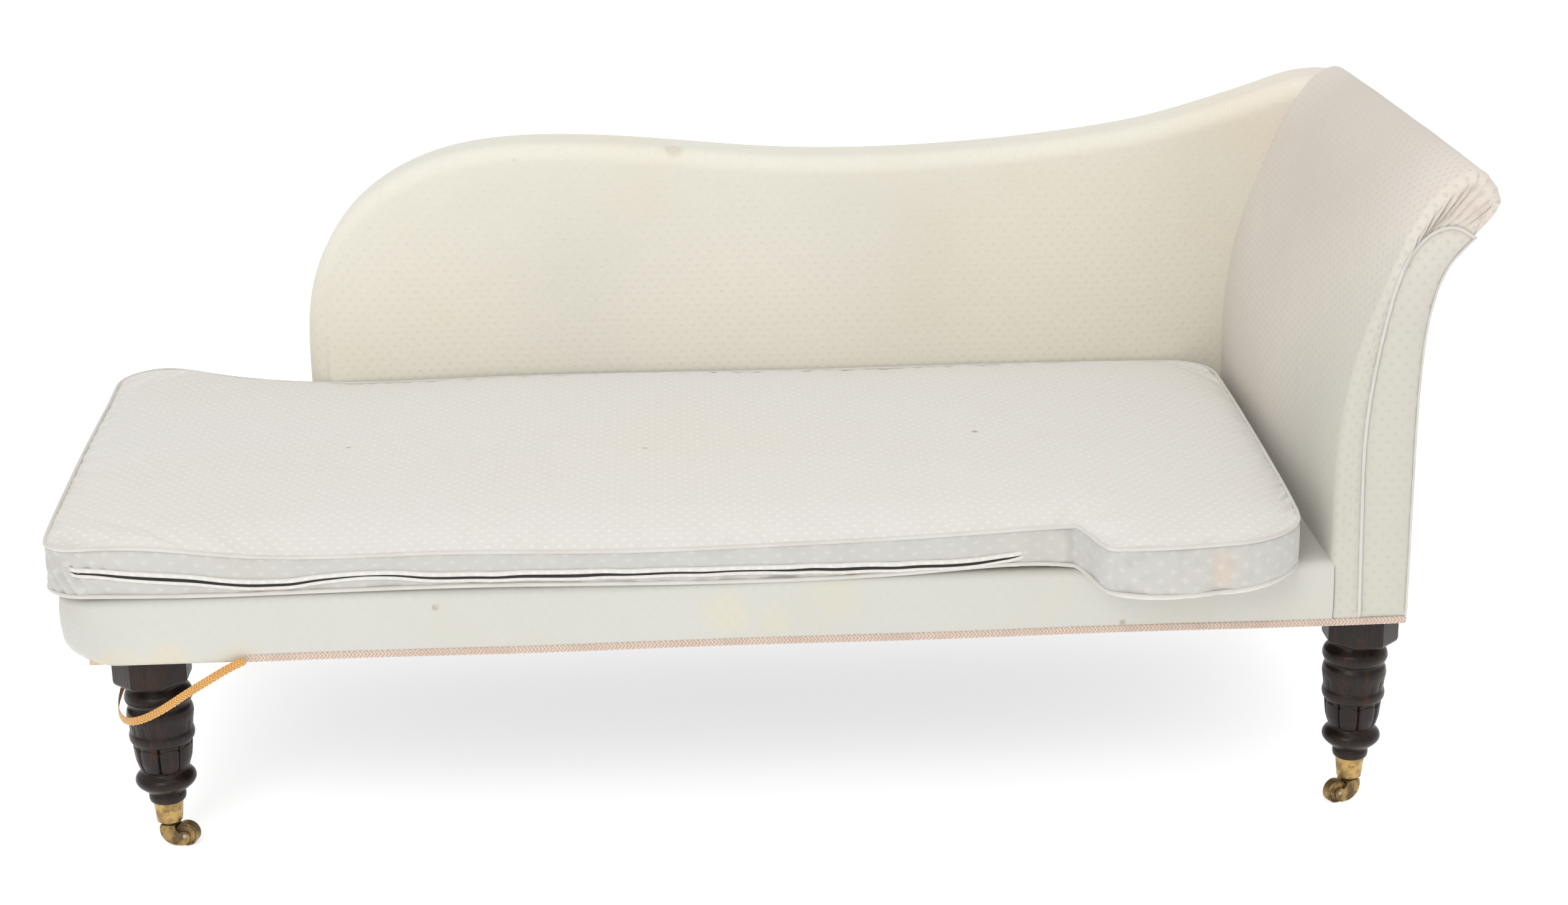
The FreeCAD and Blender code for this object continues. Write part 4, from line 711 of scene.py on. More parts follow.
def make_rear(cover):
    """Rear panel: rows that fan from the back's rim to the lower edge, dished by 1 mm inside their seam."""
    rim, inward, _ = back_rim(220, 90)
    rim = rim + inward * 0.002
    foot = np.array([(BACK_FOOT + 0.002, z) for z in np.linspace(APRON + 0.002, DECK, 12)[:-1]])
    rim = np.concatenate([foot, rim, [(ARM_OUT - 0.004, APRON + 0.05), (ARM_OUT - 0.004, APRON + 0.002)]])
    places = knots_of(rim)
    places /= places[-1]
    base_x = BACK_FOOT + 0.002 + (ARM_OUT - 0.006 - BACK_FOOT) * places
    rows = []
    for w in np.linspace(0, 1, 40):
        x = (1 - w) * rim[:, 0] + w * base_x
        z = (1 - w) * rim[:, 1] + w * (APRON + 0.002)
        slack = 0.0009 * ripple(x, z, 9) * min(1.0, 8 * w)
        y = BACK - 0.0016 + slack * 0.6 + 0.0012 * smooth(w * 20)
        rows.append(spread(x, y, z))
    points = np.array(rows)
    piece = piece_of("back_outside", [Patch(points, uv=points[..., [0, 2]])], flip=True)
    set_up(piece, cover, replaces=("back_outside_cover",))


# Places of the pleats along the inner piping, and pairs of places on the outline and on the piping
PLEATS = [4.25, 4.62, 5.02, 5.38, 5.74, 6.12, 6.5, 6.86, 7.2]
TURN_PAIRS = np.array([
    (0, 0), (1, 0.6), (2, 1.4), (3, 2.4), (4, 3.3), (5, 4.25), (6, 5.0), (7, 5.6), (8, 6.2), (9, 6.8),
    (10, 7.2), (11, 7.65), (12, 8.0),
])


def make_arm(sizes, cover):
    """Inside arm: its outline carried from the back to the front, turned over a small round, then pleated.

    On the front face a row at share w runs from the outline to the piping: p = (1 - w) edge + w piping.
    Each pleat is h exp(-((f - c) / 0.055)^2) at its place f along the piping, fading towards the outline.
    At the rear the cover goes 10 mm into the back and is turned in over a small round.
    """
    arm, facing = arm_points(ARM_SHARES), arm_points(FACING_SHARES)
    places = even(arm, 300, 0.0, ROLL_END)
    line = curve(arm, places)
    outward = -right_of(line)
    radius = 0.010 + 0.003 * smooth((places - 4.5) / 3) * smooth((ROLL_END - 0.1 - places) / 1.6)
    match = np.interp(places, TURN_PAIRS[:, 0], TURN_PAIRS[:, 1])
    piping = curve(facing, match)
    fold = sum(bump(match, centre, 0.055) * (0.75 + 0.25 * math.sin(7 * centre)) for centre in PLEATS)
    fold = fold - 0.5 * sum(bump(match, centre + 0.13, 0.06) for centre in PLEATS)
    fold *= smooth((match - 4.0) / 0.3) * smooth((7.6 - match) / 0.3)
    seated = smooth((places - 1.0) / 1.5) * smooth((ROLL_END - places) / 1.5)
    rows = []
    rear, tuck = BACK_FACE + 0.010, 0.009
    for angle, deeper in ((90, 0.030), (90, 0.0), (65, 0.0), (40, 0.0), (20, 0.0)):
        turn = math.radians(angle)
        spot = line - outward * (tuck * (1 - math.cos(turn)) + deeper)
        rows.append(spread(spot[:, 0], rear + tuck * math.sin(turn), spot[:, 1]))
    for share in np.linspace(0, 1, 70):
        y = rear + (FRONT + radius - rear) * share
        swell = 0.0022 * math.sin(math.pi * share) ** 0.7 * seated
        pulled = 0.25 * sizes.pleats * fold * smooth((share - 0.93) / 0.07)
        wander = 0.0006 * ripple(line[:, 1] + 2, y, 5) * seated
        spot = line + outward * (swell + pulled + wander)[:, None]
        rows.append(spread(spot[:, 0], y, spot[:, 1]))
    for angle in np.linspace(0, math.pi / 2, 12)[1:]:
        pull = radius * (1 - math.cos(angle)) - 0.4 * sizes.pleats * fold * math.cos(angle)
        spot = line - outward * pull[:, None]
        y = FRONT + radius * (1 - math.sin(angle)) - 0.5 * sizes.pleats * fold * math.sin(angle)
        rows.append(spread(spot[:, 0], y, spot[:, 1]))
    edge = line - outward * radius[:, None]
    for w in np.linspace(0, 1, 22)[1:]:
        spot = (1 - w) * edge + w * piping
        lift = fold * sizes.pleats * (0.5 + 0.7 * math.sin(math.pi * min(1.0, w * 1.15) ** 0.8))
        puff = 0.0022 * math.sin(math.pi * w) * smooth((spot[:, 1] - APRON - 0.008) / 0.03)
        y = FRONT - puff - lift * smooth((1.02 - w) / 0.1)
        rows.append(spread(spot[:, 0], y, spot[:, 1]))
    points = np.array(rows)
    uv = uv_grid(knots_of(line), mean_run(points, 0))
    piece = piece_of("arm_inside", [Patch(points, uv=uv)], flip=True)
    set_up(piece, cover, replaces=("arm_inside_cover",))


def make_facing(cover):
    """Front facing: rows across from the inner piping to the outer edge, puffed 3.5 mm sin(pi w)."""
    arm, facing = arm_points(ARM_SHARES), arm_points(FACING_SHARES)
    inner = curve(facing, even(facing, 160)[::-1])
    outer = curve(arm, even(arm, 160, ROLL_END, len(arm) - 1))
    rows = []
    wide = np.linalg.norm(outer - inner, axis=1)
    for w in np.linspace(0, 1, 18):
        spot = (1 - w) * inner + w * outer
        puff = smooth(wide / 0.03) * smooth((spot[:, 1] - APRON - 0.008) / 0.03)
        y = FRONT - 0.0035 * math.sin(math.pi * w) * puff + 0.0008
        y = y + 0.0004 * ripple(spot[:, 0] * 3, spot[:, 1] * 2, 12)
        rows.append(spread(spot[:, 0], y, spot[:, 1]))
    points = np.array(rows)
    piece = piece_of("arm_facing", [Patch(points, uv=points[..., [0, 2]])])
    set_up(piece, cover, replaces=("arm_front_facing",))


def make_arm_outside(cover):
    """Outside arm: the outline from under the roll to the lower edge, carried from front to rear."""
    arm = arm_points(ARM_SHARES)
    line = curve(arm, even(arm, 130, ROLL_END + 0.05, len(arm) - 1))
    outward = -right_of(line)
    rows = []
    for share in np.linspace(0, 1, 50):
        y = FRONT + 0.001 + (BACK - FRONT - 0.003) * share
        hold = smooth(share * 12) * smooth((1 - share) * 12)
        swell = 0.001 * hold + 0.0006 * ripple(line[:, 1], y, 21) * hold
        spot = line + outward * swell[:, None]
        rows.append(spread(spot[:, 0], y, spot[:, 1]))
    piece = piece_of("arm_outside", [Patch(np.array(rows))], flip=True)
    set_up(piece, cover, replaces=("arm_outside_cover",))


def make_arm_piping(piping):
    """Two covered cords on the facing: one on the inner line and a thinner one along the outer edge."""
    arm, facing = arm_points(ARM_SHARES), arm_points(FACING_SHARES)
    inner = curve(facing, even(facing, 320))
    outer = curve(arm, even(arm, 260, ROLL_END - 0.1, len(arm) - 1))
    patches = []
    for line, radius, proud in ((inner, 0.0024, 0.0012), (outer, 0.0016, 0.0006)):
        tucked = (proud + radius) * smooth((APRON + 0.020 - line[:, 1]) / 0.012)
        path = spread(line[:, 0], FRONT - proud + tucked, line[:, 1])
        path[:, 1] += 0.0003 * np.sin(np.arange(len(path)) * 0.35)
        patches.append(round_tube(path, radius, up=(0, -1, 0)))
    piece = piece_of("arm_cords", patches)
    set_up(piece, piping, replaces=("arm_piping",))


def plan_path(points, corners):
    """A plan line through straight runs with round corners; each corner is (number of the point, radius)."""
    line = []
    rounds = dict(corners)
    for number, point in enumerate(points):
        point = np.array(point, float)
        if number not in rounds:
            line.append(point[None])
            continue
        radius = rounds[number]
        before = unit(np.array(points[number - 1], float) - point)
        after = unit(np.array(points[number + 1], float) - point)
        centre = point + (before + after) * radius
        t = np.linspace(0, math.pi / 2, 14)[:, None]
        line.append(centre - after * radius * np.cos(t) - before * radius * np.sin(t))
    return np.concatenate(line)


def resample(line, step):
    """Even points along straight runs between points."""
    knots = knots_of(line)
    at = np.linspace(0, knots[-1], max(3, int(knots[-1] / step)))
    return np.stack([np.interp(at, knots, line[:, axis]) for axis in range(line.shape[1])], axis=1)


def make_apron(cover):
    """Apron round the seat: a section carried along the plan line, rolled under at the foot.

    The section is a quarter round under, an upright with a 1.8 mm swell, and a round onto the deck. The
    round under grows at the foot end, and the deck is two flat panels behind it.
    """
    corner, top = 0.060, 0.011
    plan = plan_path(
        [(ARM_IN + 0.004, FRONT), (FOOT, FRONT), (FOOT, BACK), (BACK_FOOT - 0.002, BACK)],
        [(1, corner), (2, corner)])
    line = resample(plan, 0.008)
    outward = -right_of(line[::-1])[::-1]
    if outward[0, 1] > 0:
        outward = -outward
    x, y = line[:, 0], line[:, 1]
    travelled = knots_of(line)
    under = 0.004 + 0.026 * smooth((-0.800 - x) / 0.065)
    slack = 0.0018 + 0.0006 * ripple(travelled, 0.0, 31)
    rows = []

    def row(outset, z):
        spot = line + outward * np.broadcast_to(outset, x.shape)[:, None]
        rows.append(spread(spot[:, 0], spot[:, 1], z))

    row(-under - 0.012, APRON + 0.0015)
    for angle in np.linspace(0, math.pi / 2, 9):
        row(-under * (1 - math.sin(angle)), APRON + under * (1 - math.cos(angle)))
    for share in np.linspace(0, 1, 14)[1:]:
        z = APRON + under + (DECK - top - APRON - under) * share
        row(slack * math.sin(math.pi * share), z)
    for angle in np.linspace(0, math.pi / 2, 8)[1:]:
        row(-top * (1 - math.cos(angle)), DECK - top * (1 - math.sin(angle)))
    row(-0.030, DECK)
    points = np.array(rows)
    patches = [Patch(points, uv=uv_grid(travelled, mean_run(points, 0)))]
    for low, high in (((FOOT + 0.02, FRONT + 0.02), (ARM_IN + 0.01, BACK_FACE + 0.004)),
                      ((FOOT + 0.02, BACK_FACE + 0.004), (BACK_FOOT + 0.004, BACK - 0.02))):
        across, along = np.meshgrid(
            np.linspace(low[0], high[0], 90), np.linspace(low[1], high[1], 40))
        level = DECK - 0.0006 + 0.0005 * ripple(across, along, 17)
        panel = spread(across, along, level)
        patches.append(Patch(panel, uv=panel[..., :2]))
    piece = piece_of("seat_apron", patches)
    seal(piece.data)
    set_up(piece, cover, replaces=("seat_cover",))


# Loose cushion

CUSHION_FOOT, CUSHION_HEAD, CUSHION_REAR = -0.9105, 0.6908, 0.3618
CUSHION_OUT = 0.088
STEP_AT = 0.400
BASE, EDGE = 0.3576, 0.4180
COLUMNS, ROWS = 230, 84


def lean(x, share):
    """How far the cushion's ends are drawn in towards the front, at a share of the way from front to rear."""
    foot = 0.026 * smooth(1 - (x - CUSHION_FOOT) / 0.5)
    head = 0.017 * smooth(1 - (CUSHION_HEAD - x) / 0.3)
    return (foot - head) * (1 - share) ** 1.5


def seat_front(x):
    """The cushion's front edge where its ends have been drawn in."""
    plain = np.linspace(CUSHION_FOOT, CUSHION_HEAD, 900)
    return np.interp(x, plain + lean(plain, 0.0), cushion_edges(plain)[0])


def end_round(far, radius):
    """How far a round corner has drawn the edge in at a distance from the end: r - sqrt(r^2 - (r - d)^2)."""
    inner = np.clip(radius - far, 0, radius)
    return radius - np.sqrt(np.maximum(radius ** 2 - inner ** 2, 0))


def cushion_edges(x):
    """Front and rear edge of the cushion at each X, with its corners, the step and a wandering line."""
    front = FRONT + 0.0015 + end_round(x - CUSHION_FOOT, 0.050) + end_round(CUSHION_HEAD - x, 0.100)
    reach = CUSHION_OUT - 0.014 * smooth((x - 0.46) / 0.20)
    front = front - reach * smooth((x - STEP_AT + 0.012) / 0.034)
    front = front + 0.0022 * np.sin(x * 9.0 + 0.6) * smooth((STEP_AT - x) / 0.2)
    rear = CUSHION_REAR - end_round(x - CUSHION_FOOT, 0.030) - end_round(CUSHION_HEAD - x, 0.065)
    return front, rear + 0.0015 * np.sin(x * 5.0)


# Heights of the cushion's seams along the couch: they wander, and the rear foot corner turns up
FRONT_SEAM = [
    (-0.91, 0.420), (-0.80, 0.4245), (-0.735, 0.420), (-0.658, 0.410), (-0.59, 0.405), (-0.40, 0.4055),
    (-0.18, 0.401), (0.02, 0.402), (0.21, 0.407), (0.40, 0.4145), (0.47, 0.4135), (0.69, 0.4165),
]
REAR_SEAM = [
    (-0.91, 0.433), (-0.85, 0.444), (-0.79, 0.436), (-0.72, 0.425), (-0.64, 0.418), (-0.39, 0.4185),
    (0.10, 0.417), (0.40, 0.418), (0.69, 0.416),
]
LOWER_SEAM = [
    (-0.91, 0.364), (-0.80, 0.3605), (-0.724, 0.3580), (-0.57, 0.3577), (-0.35, 0.3600), (0.20, 0.3585),
    (0.38, 0.3620), (0.44, 0.3530), (0.60, 0.3520), (0.69, 0.3590),
]


def along_line(points, x):
    """Height of a smooth line of points at each X, by the natural cubic through them."""
    points = np.array(points)
    fine = curve(points, np.linspace(0, len(points) - 1, 400))
    return np.interp(x, fine[:, 0], fine[:, 1])


def seam_heights(x, share):
    """Heights of the upper and lower seam, blended from front to rear by the share between them."""
    upper = along_line(FRONT_SEAM, x) * (1 - share) + along_line(REAR_SEAM, x) * share
    middle = smooth(np.minimum(share, 1 - share) * 6)
    upper = upper + (EDGE - upper) * 0.35 * middle
    near = 1 - smooth(share * 9)
    lower = BASE + (along_line(LOWER_SEAM, x) - BASE) * near
    return upper, lower


def swell(piece, pinned, cap):
    """Fills a sewn cover as cloth under pressure, its seams held, with each point's way eased to a cap."""
    frames = 20
    start = coordinates(piece.data)
    held = piece.vertex_groups.new(name="seams")
    held.add(pinned, 1.0, "REPLACE")
    cloth = piece.modifiers.new("filling", "CLOTH")
    cloth.settings.vertex_group_mass = "seams"
    cloth.settings.use_pressure = True
    cloth.settings.uniform_pressure_force = 4.0
    cloth.settings.effector_weights.gravity = 0.0
    cloth.settings.shrink_min = -0.035
    cloth.settings.bending_stiffness = 0.05
    cloth.settings.quality = 4
    cloth.point_cache.frame_start = 1
    cloth.point_cache.frame_end = frames
    for number in range(1, frames + 1):
        bpy.context.scene.frame_set(number)
    graph = bpy.context.evaluated_depsgraph_get()
    filled = coordinates(piece.evaluated_get(graph).to_mesh())
    piece.modifiers.remove(cloth)
    bpy.context.scene.frame_set(1)
    moved = filled - start
    far = np.maximum(np.linalg.norm(moved, axis=1, keepdims=True), 1e-9)
    return start + moved * cap * np.tanh(far / cap) / far


def crumpled(points):
    """Adds the boxing's creases: slanting folds on the extension and small puckers at its corners.

    A crease goes in by d exp(-(sin(p) / 0.45)^2) across its slant p, deepest halfway up the boxing. Along
    the front the boxing follows its slow wave instead of the simulated cloth.
    """
    x, y, z = points.T.copy()
    half = np.sin(math.pi * np.clip((z - BASE) / (EDGE - BASE), 0, 1))
    wander = 2.2 * ripple(x * 2, z * 3, 51)
    edge = seat_front(x)
    front = smooth((0.014 - (y - edge)) / 0.006) * half * smooth((x + 0.872) / 0.02)
    front *= 1 - smooth((x - 0.345) / 0.02)
    y = y + (edge - wave(x, z) - y) * np.minimum(1, front * 1.6)
    extension = smooth((x - 0.42) / 0.03) * smooth((0.67 - x) / 0.05)
    extension = extension * smooth((FRONT - 0.040 - y) / 0.012) * half
    crease = np.exp(-(np.sin((0.80 * z - 0.55 * x) * math.pi / 0.026 + 0.6 * wander) / 0.45) ** 2)
    y = y + 0.0080 * extension * crease * smooth(0.5 + ripple(x * 5, z * 8, 52))
    corner = bump(x, CUSHION_FOOT + 0.055, 0.040) * bump(y, FRONT + 0.02, 0.045) * half
    pucker = np.sin((x - 0.7 * y + 0.8 * z) * 2 * math.pi / 0.021 + 2 * wander)
    x, y = x - 0.0045 * corner * pucker, y - 0.0045 * corner * pucker
    notch = bump(x, STEP_AT, 0.020) * bump(y, FRONT - 0.03, 0.05) * half
    x = x + 0.0028 * notch * np.sin((z + 0.5 * y) * 2 * math.pi / 0.021)
    return spread(x, y, z)


def wave(x, z):
    """The front boxing's slow wave, which its placket follows."""
    return 0.0011 * np.sin((0.5 * z + x) * 2 * math.pi / 0.083 + 2.2 * ripple(x * 2, z * 3, 51))


def make_cushion(sizes, cloth, piping, dark):
    """Boxed cushion: top and bottom panels on one plan grid, a boxing between their seams, filled as cloth.

    The top rises from its seam by c (1 - (1 - d / 0.10)^2) for the distance d to each edge in turn.
    """
    wall_levels, edge_run, cord_radius, cord_out = 12, 0.10, 0.0026, 0.0012
    t = np.linspace(0, 1, COLUMNS)
    x = CUSHION_FOOT + (CUSHION_HEAD - CUSHION_FOOT) * (t - 0.55 * np.sin(2 * math.pi * t) / (2 * math.pi))
    front, rear = cushion_edges(x)
    v = np.linspace(0, 1, ROWS)[:, None]
    v = v - 0.35 * np.sin(2 * math.pi * v) / (2 * math.pi)
    along = front + (rear - front) * v
    across = x + lean(x, v)
    upper, lower = seam_heights(across, np.broadcast_to(v, across.shape))
    inset_x = np.minimum(across - CUSHION_FOOT, CUSHION_HEAD - across)
    inset_y = np.minimum(along - front, rear - along)
    rise_x, rise_y = (1 - (1 - np.clip(inset / edge_run, 0, 1)) ** 2 for inset in (inset_x, inset_y))
    rise = rise_x * rise_y
    high = upper + sizes.crown * 0.55 * rise + 0.0012 * ripple(across, along, 41) * rise
    top, bottom = spread(across, along, high), spread(across, along, lower)
    plan = top[..., :2]

    def around(grid):
        return np.concatenate([grid[0], grid[1:-1, -1], grid[-1, ::-1], grid[-2:0:-1, 0]])

    ring_top, ring_low = around(top), around(bottom)
    levels = np.linspace(0, 1, wall_levels)[:, None, None]
    wall = ring_top[None] + (ring_low - ring_top)[None] * levels
    run = knots_of(np.concatenate([ring_top, ring_top[:1]]))
    boxing_uv = uv_grid(run, np.linspace(0, EDGE - BASE, wall_levels))
    piece = piece_of("cushion", [
        Patch(top, uv=plan), Patch(bottom, uv=plan), Patch(wall, uv=boxing_uv, close_columns=True, finish=1),
    ], merge=1e-5)
    points = coordinates(piece.data)
    seams = np.concatenate([ring_top, ring_low])
    keys = {tuple(key) for key in np.round(seams, 5)}
    pinned = [number for number, key in enumerate(np.round(points, 5)) if tuple(key) in keys]
    points = swell(piece, pinned, sizes.swell)
    floor = np.where(points[:, 1] < FRONT + 0.004, BASE - 0.016, BASE)
    floor = np.where(points[:, 0] < FOOT, BASE - 0.006, floor)
    points[:, 2] = np.maximum(points[:, 2], floor)
    points[:, 1] = np.minimum(points[:, 1], BACK_FACE - 0.006)
    points[:, 0] = np.clip(points[:, 0], CUSHION_FOOT - 0.006, ARM_IN - 0.006)
    points = crumpled(points)
    piece.data.vertices.foreach_set("co", points.astype(np.float32).ravel())
    finer = piece.modifiers.new("finer", "SUBSURF")
    finer.levels = finer.render_levels = 1
    set_up(piece, cloth, body="cushion",
           replaces=("cushion_cover", "cushion_filling"))
    cords = []
    for ring, lift in ((ring_top, 0.0008), (ring_low, 0.0022)):
        slope = np.gradient(np.concatenate([ring[-3:], ring, ring[:3]]), axis=0)[3:-3]
        outward = unit(spread(slope[:, 1], -slope[:, 0], 0.0))
        path = ring + outward * cord_out + np.array([0, 0, lift])
        loop = resample(np.concatenate([path, path[:1]]), 0.006)[:-1]
        cords.append(round_tube(loop, cord_radius, closed=True))
    trim = piece_of("cushion_cords", cords)
    set_up(trim, piping, body="cushion", replaces=("cushion_piping",))
    make_placket(cloth[0], dark)


# The placket's lip along the front boxing: it dips, rises and ends before the step
SLIT_LINE = [
    (-0.851, 0.3965), (-0.783, 0.3882), (-0.727, 0.3820), (-0.672, 0.3752), (-0.616, 0.3700),
    (-0.560, 0.3735), (-0.494, 0.3790), (-0.415, 0.3745), (-0.314, 0.3728), (-0.179, 0.3713),
    (0.020, 0.3690), (0.208, 0.3680), (0.290, 0.3735), (0.331, 0.3805),
]


def make_placket(cloth, dark):
    """Hemmed lips of the placket, low in the front boxing, with a near-black sheet of painted shade in the
    slit between them.

    The slit is open by 1 mm |sin(7.3 x)|^1.5 and a finer wave to each side, and closes at both ends.
    """
    x = np.linspace(SLIT_LINE[0][0], SLIT_LINE[-1][0], 560)
    middle = along_line(SLIT_LINE, x)
    ends = smooth((x - x[0]) / 0.012) * smooth((x[-1] - x) / 0.030)
    gape = 0.0002 + 0.0010 * np.abs(np.sin(x * 7.3 + 0.4)) ** 1.5 + 0.0004 * np.abs(np.sin(x * 19.0))
    gape = ends * gape

    def rows(*places):
        """A strip from the rise over the middle line, the share of the gape and the way out of each row."""
        made = []
        for rise, share, out in places:
            z = middle + rise + share * gape
            y = seat_front(x) - wave(x, z) - (out + 0.0014) * ends + 0.0012
            made.append(spread(x, y, z))
        return Patch(made)

    hem = piece_of("placket_lip", [
        rows((0.0062, 1, 0.0), (0.0056, 1, 0.0018), (0.0036, 1, 0.0026), (0.0012, 1, 0.0024),
             (0.0, 1, 0.0010)),
        rows((0.0, -1, 0.0024), (-0.0008, -1, 0.0040), (-0.0026, -1, 0.0042), (-0.0046, -1, 0.0022),
             (-0.0056, -1, 0.0)),
    ])
    set_up(hem, cloth, body="cushion")
    # A near-black sheet of painted shade fills the slit between the lips.
    gap = piece_of("placket_gap", [
        rows((0.0004, 1, 0.0010), (0.0, 0.2, 0.0016), (0.0, -0.6, 0.0024), (-0.0006, -1, 0.0032)),
    ])
    set_up(gap, dark, body="cushion")


# Trim

GIMP_PITCH, BRAID_PITCH = 0.0045, 0.0040


def flat_band(path, outward, across, width, thick, scallop, pitch):
    """A woven band along a path: a rounded section whose lower edge swings by s |sin(pi u / pitch)|."""
    travelled = knots_of(path)
    section = [
        (-0.5, 0.0), (-0.46, 0.7), (-0.3, 1.0), (-0.1, 0.8), (0.1, 0.8), (0.3, 1.0), (0.46, 0.7), (0.5, 0.0),
        (0.3, -0.1), (-0.3, -0.1),
    ]
    swing = scallop * np.abs(np.sin(np.pi * travelled / pitch))
    columns, heights = [], []
    for share, out in section:
        reach = width * share - swing * (share < -0.4)
        loops = 1 + 0.25 * np.sin(2 * np.pi * travelled / pitch + (0 if share < 0 else np.pi))
        columns.append(path + across * reach[:, None] + outward * (thick * out * loops)[:, None])
        heights.append(width * (share + 0.5))
    uv = uv_grid(heights + heights[:1], travelled)[..., ::-1]
    return Patch(np.stack(columns, axis=1), uv=uv, close_columns=True)


def make_gimp(braid):
    """Gimp along the lower edge: the front from where it is torn, then along the arm's foot to the rear."""
    torn_at, out = FOOT + 0.232, 0.0004
    plan = plan_path([
        (torn_at, FRONT - out), (ARM_OUT + out, FRONT - out), (ARM_OUT + out, BACK - 0.001),
    ], [(1, 0.003)])
    line = resample(plan, 0.0018)
    outward = right_of(line)
    drift = 0.0006 * np.sin(knots_of(line) * 13.0)
    path = spread(line[:, 0], line[:, 1], APRON + 0.0055 + drift)
    level = spread(outward[:, 0], outward[:, 1], 0.0)
    up = np.array([[0.0, 0.0, 1.0]])
    band = flat_band(path, level, up, width=0.0095, thick=0.0012, scallop=0.0004, pitch=GIMP_PITCH)
    piece = piece_of("gimp", [band], flip=True)
    set_up(piece, braid, replaces=("bottom_braid",))


# Points of the torn braid: along the couch, out from the apron's front, and height
LOOSE_ROUTE = [
    (-0.646, -0.0065, 0.276), (-0.668, -0.008, 0.266), (-0.694, -0.007, 0.250), (-0.722, -0.003, 0.232),
    (-0.752, 0.000, 0.211), (-0.780, 0.001, 0.197), (-0.802, 0.012, 0.191), (-0.816, 0.041, 0.193),
    (-0.819, 0.074, 0.202), (-0.813, 0.103, 0.217), (-0.805, 0.121, 0.239), (-0.800, 0.126, 0.266),
]


def smooth_route(route):
    """Points along the NURBS curve of a route, read from the curve itself."""
    line = bpy.data.curves.new("braid_route", "CURVE")
    line.dimensions = "3D"
    spline = line.splines.new("NURBS")
    spline.points.add(len(route) - 1)
    for point, place in zip(spline.points, route):
        point.co = (*place, 1.0)
    spline.order_u = 3
    spline.use_endpoint_u = True
    spline.resolution_u = 24
    holder = bpy.data.objects.new("braid_route", line)
    bpy.context.scene.collection.objects.link(holder)
    mesh = bpy.data.meshes.new_from_object(holder)
    path = coordinates(mesh)
    bpy.data.objects.remove(holder)
    return path


def make_loose_braid(braid):
    """The torn braid: a limp flat band that follows its route, turning with it, scalloped along one edge."""
    route = [(x, FRONT + y, z) for x, y, z in LOOSE_ROUTE]
    path = resample(smooth_route(route), 0.0016)
    slope = unit(np.gradient(path, axis=0))
    away = unit(path[:, :2] - np.array([-0.775, FRONT + 0.070]))
    outward = spread(away[:, 0], away[:, 1], 0.0)
    turn = smooth((path[:, 0] + 0.80) / 0.05)[:, None]
    outward = outward * (1 - turn) + np.array([0.0, -1.0, 0.0]) * turn
    outward = unit(outward - slope * (outward * slope).sum(axis=1, keepdims=True))
    across = np.cross(slope, outward)
    across *= np.sign(across[:, 2].sum())
    band = flat_band(path, outward, across, width=0.0098, thick=0.0009, scallop=0.0012, pitch=BRAID_PITCH)
    piece = piece_of("torn_braid", [band])
    seal(piece.data, fill=True)
    set_up(piece, braid, replaces=("loose_braid",))


# Legs

# Half section of the turned leg: radius in mm and height in 166ths of the turning
LEG_TURNING = [
    (15, -4), (16.4, -0.5), (21, 0), (22.7, 2.2), (23.4, 7), (22.8, 11), (21.4, 13), (24.5, 15), (30, 19.5),
    (34.2, 23.2), (36.8, 26.5), (38.1, 30), (37.6, 34), (35.5, 37.5), (32.0, 40.5), (29, 43.5), (28.9, 45.0),
    (31.2, 51), (33.8, 60), (35.0, 70), (35.7, 79), (36.4, 81.8), (37.8, 84.2), (40.0, 87), (41.0, 92.5),
    (40.2, 97), (38.8, 99.5), (39.0, 103), (39.8, 110), (41.2, 117), (41.8, 122), (40.6, 129), (37.4, 134),
    (37.2, 134.6), (40.2, 138.5), (42.2, 143), (42.5, 147), (40.8, 152.5), (36, 157.5), (33.4, 161),
    (33, 163), (34, 166),
]


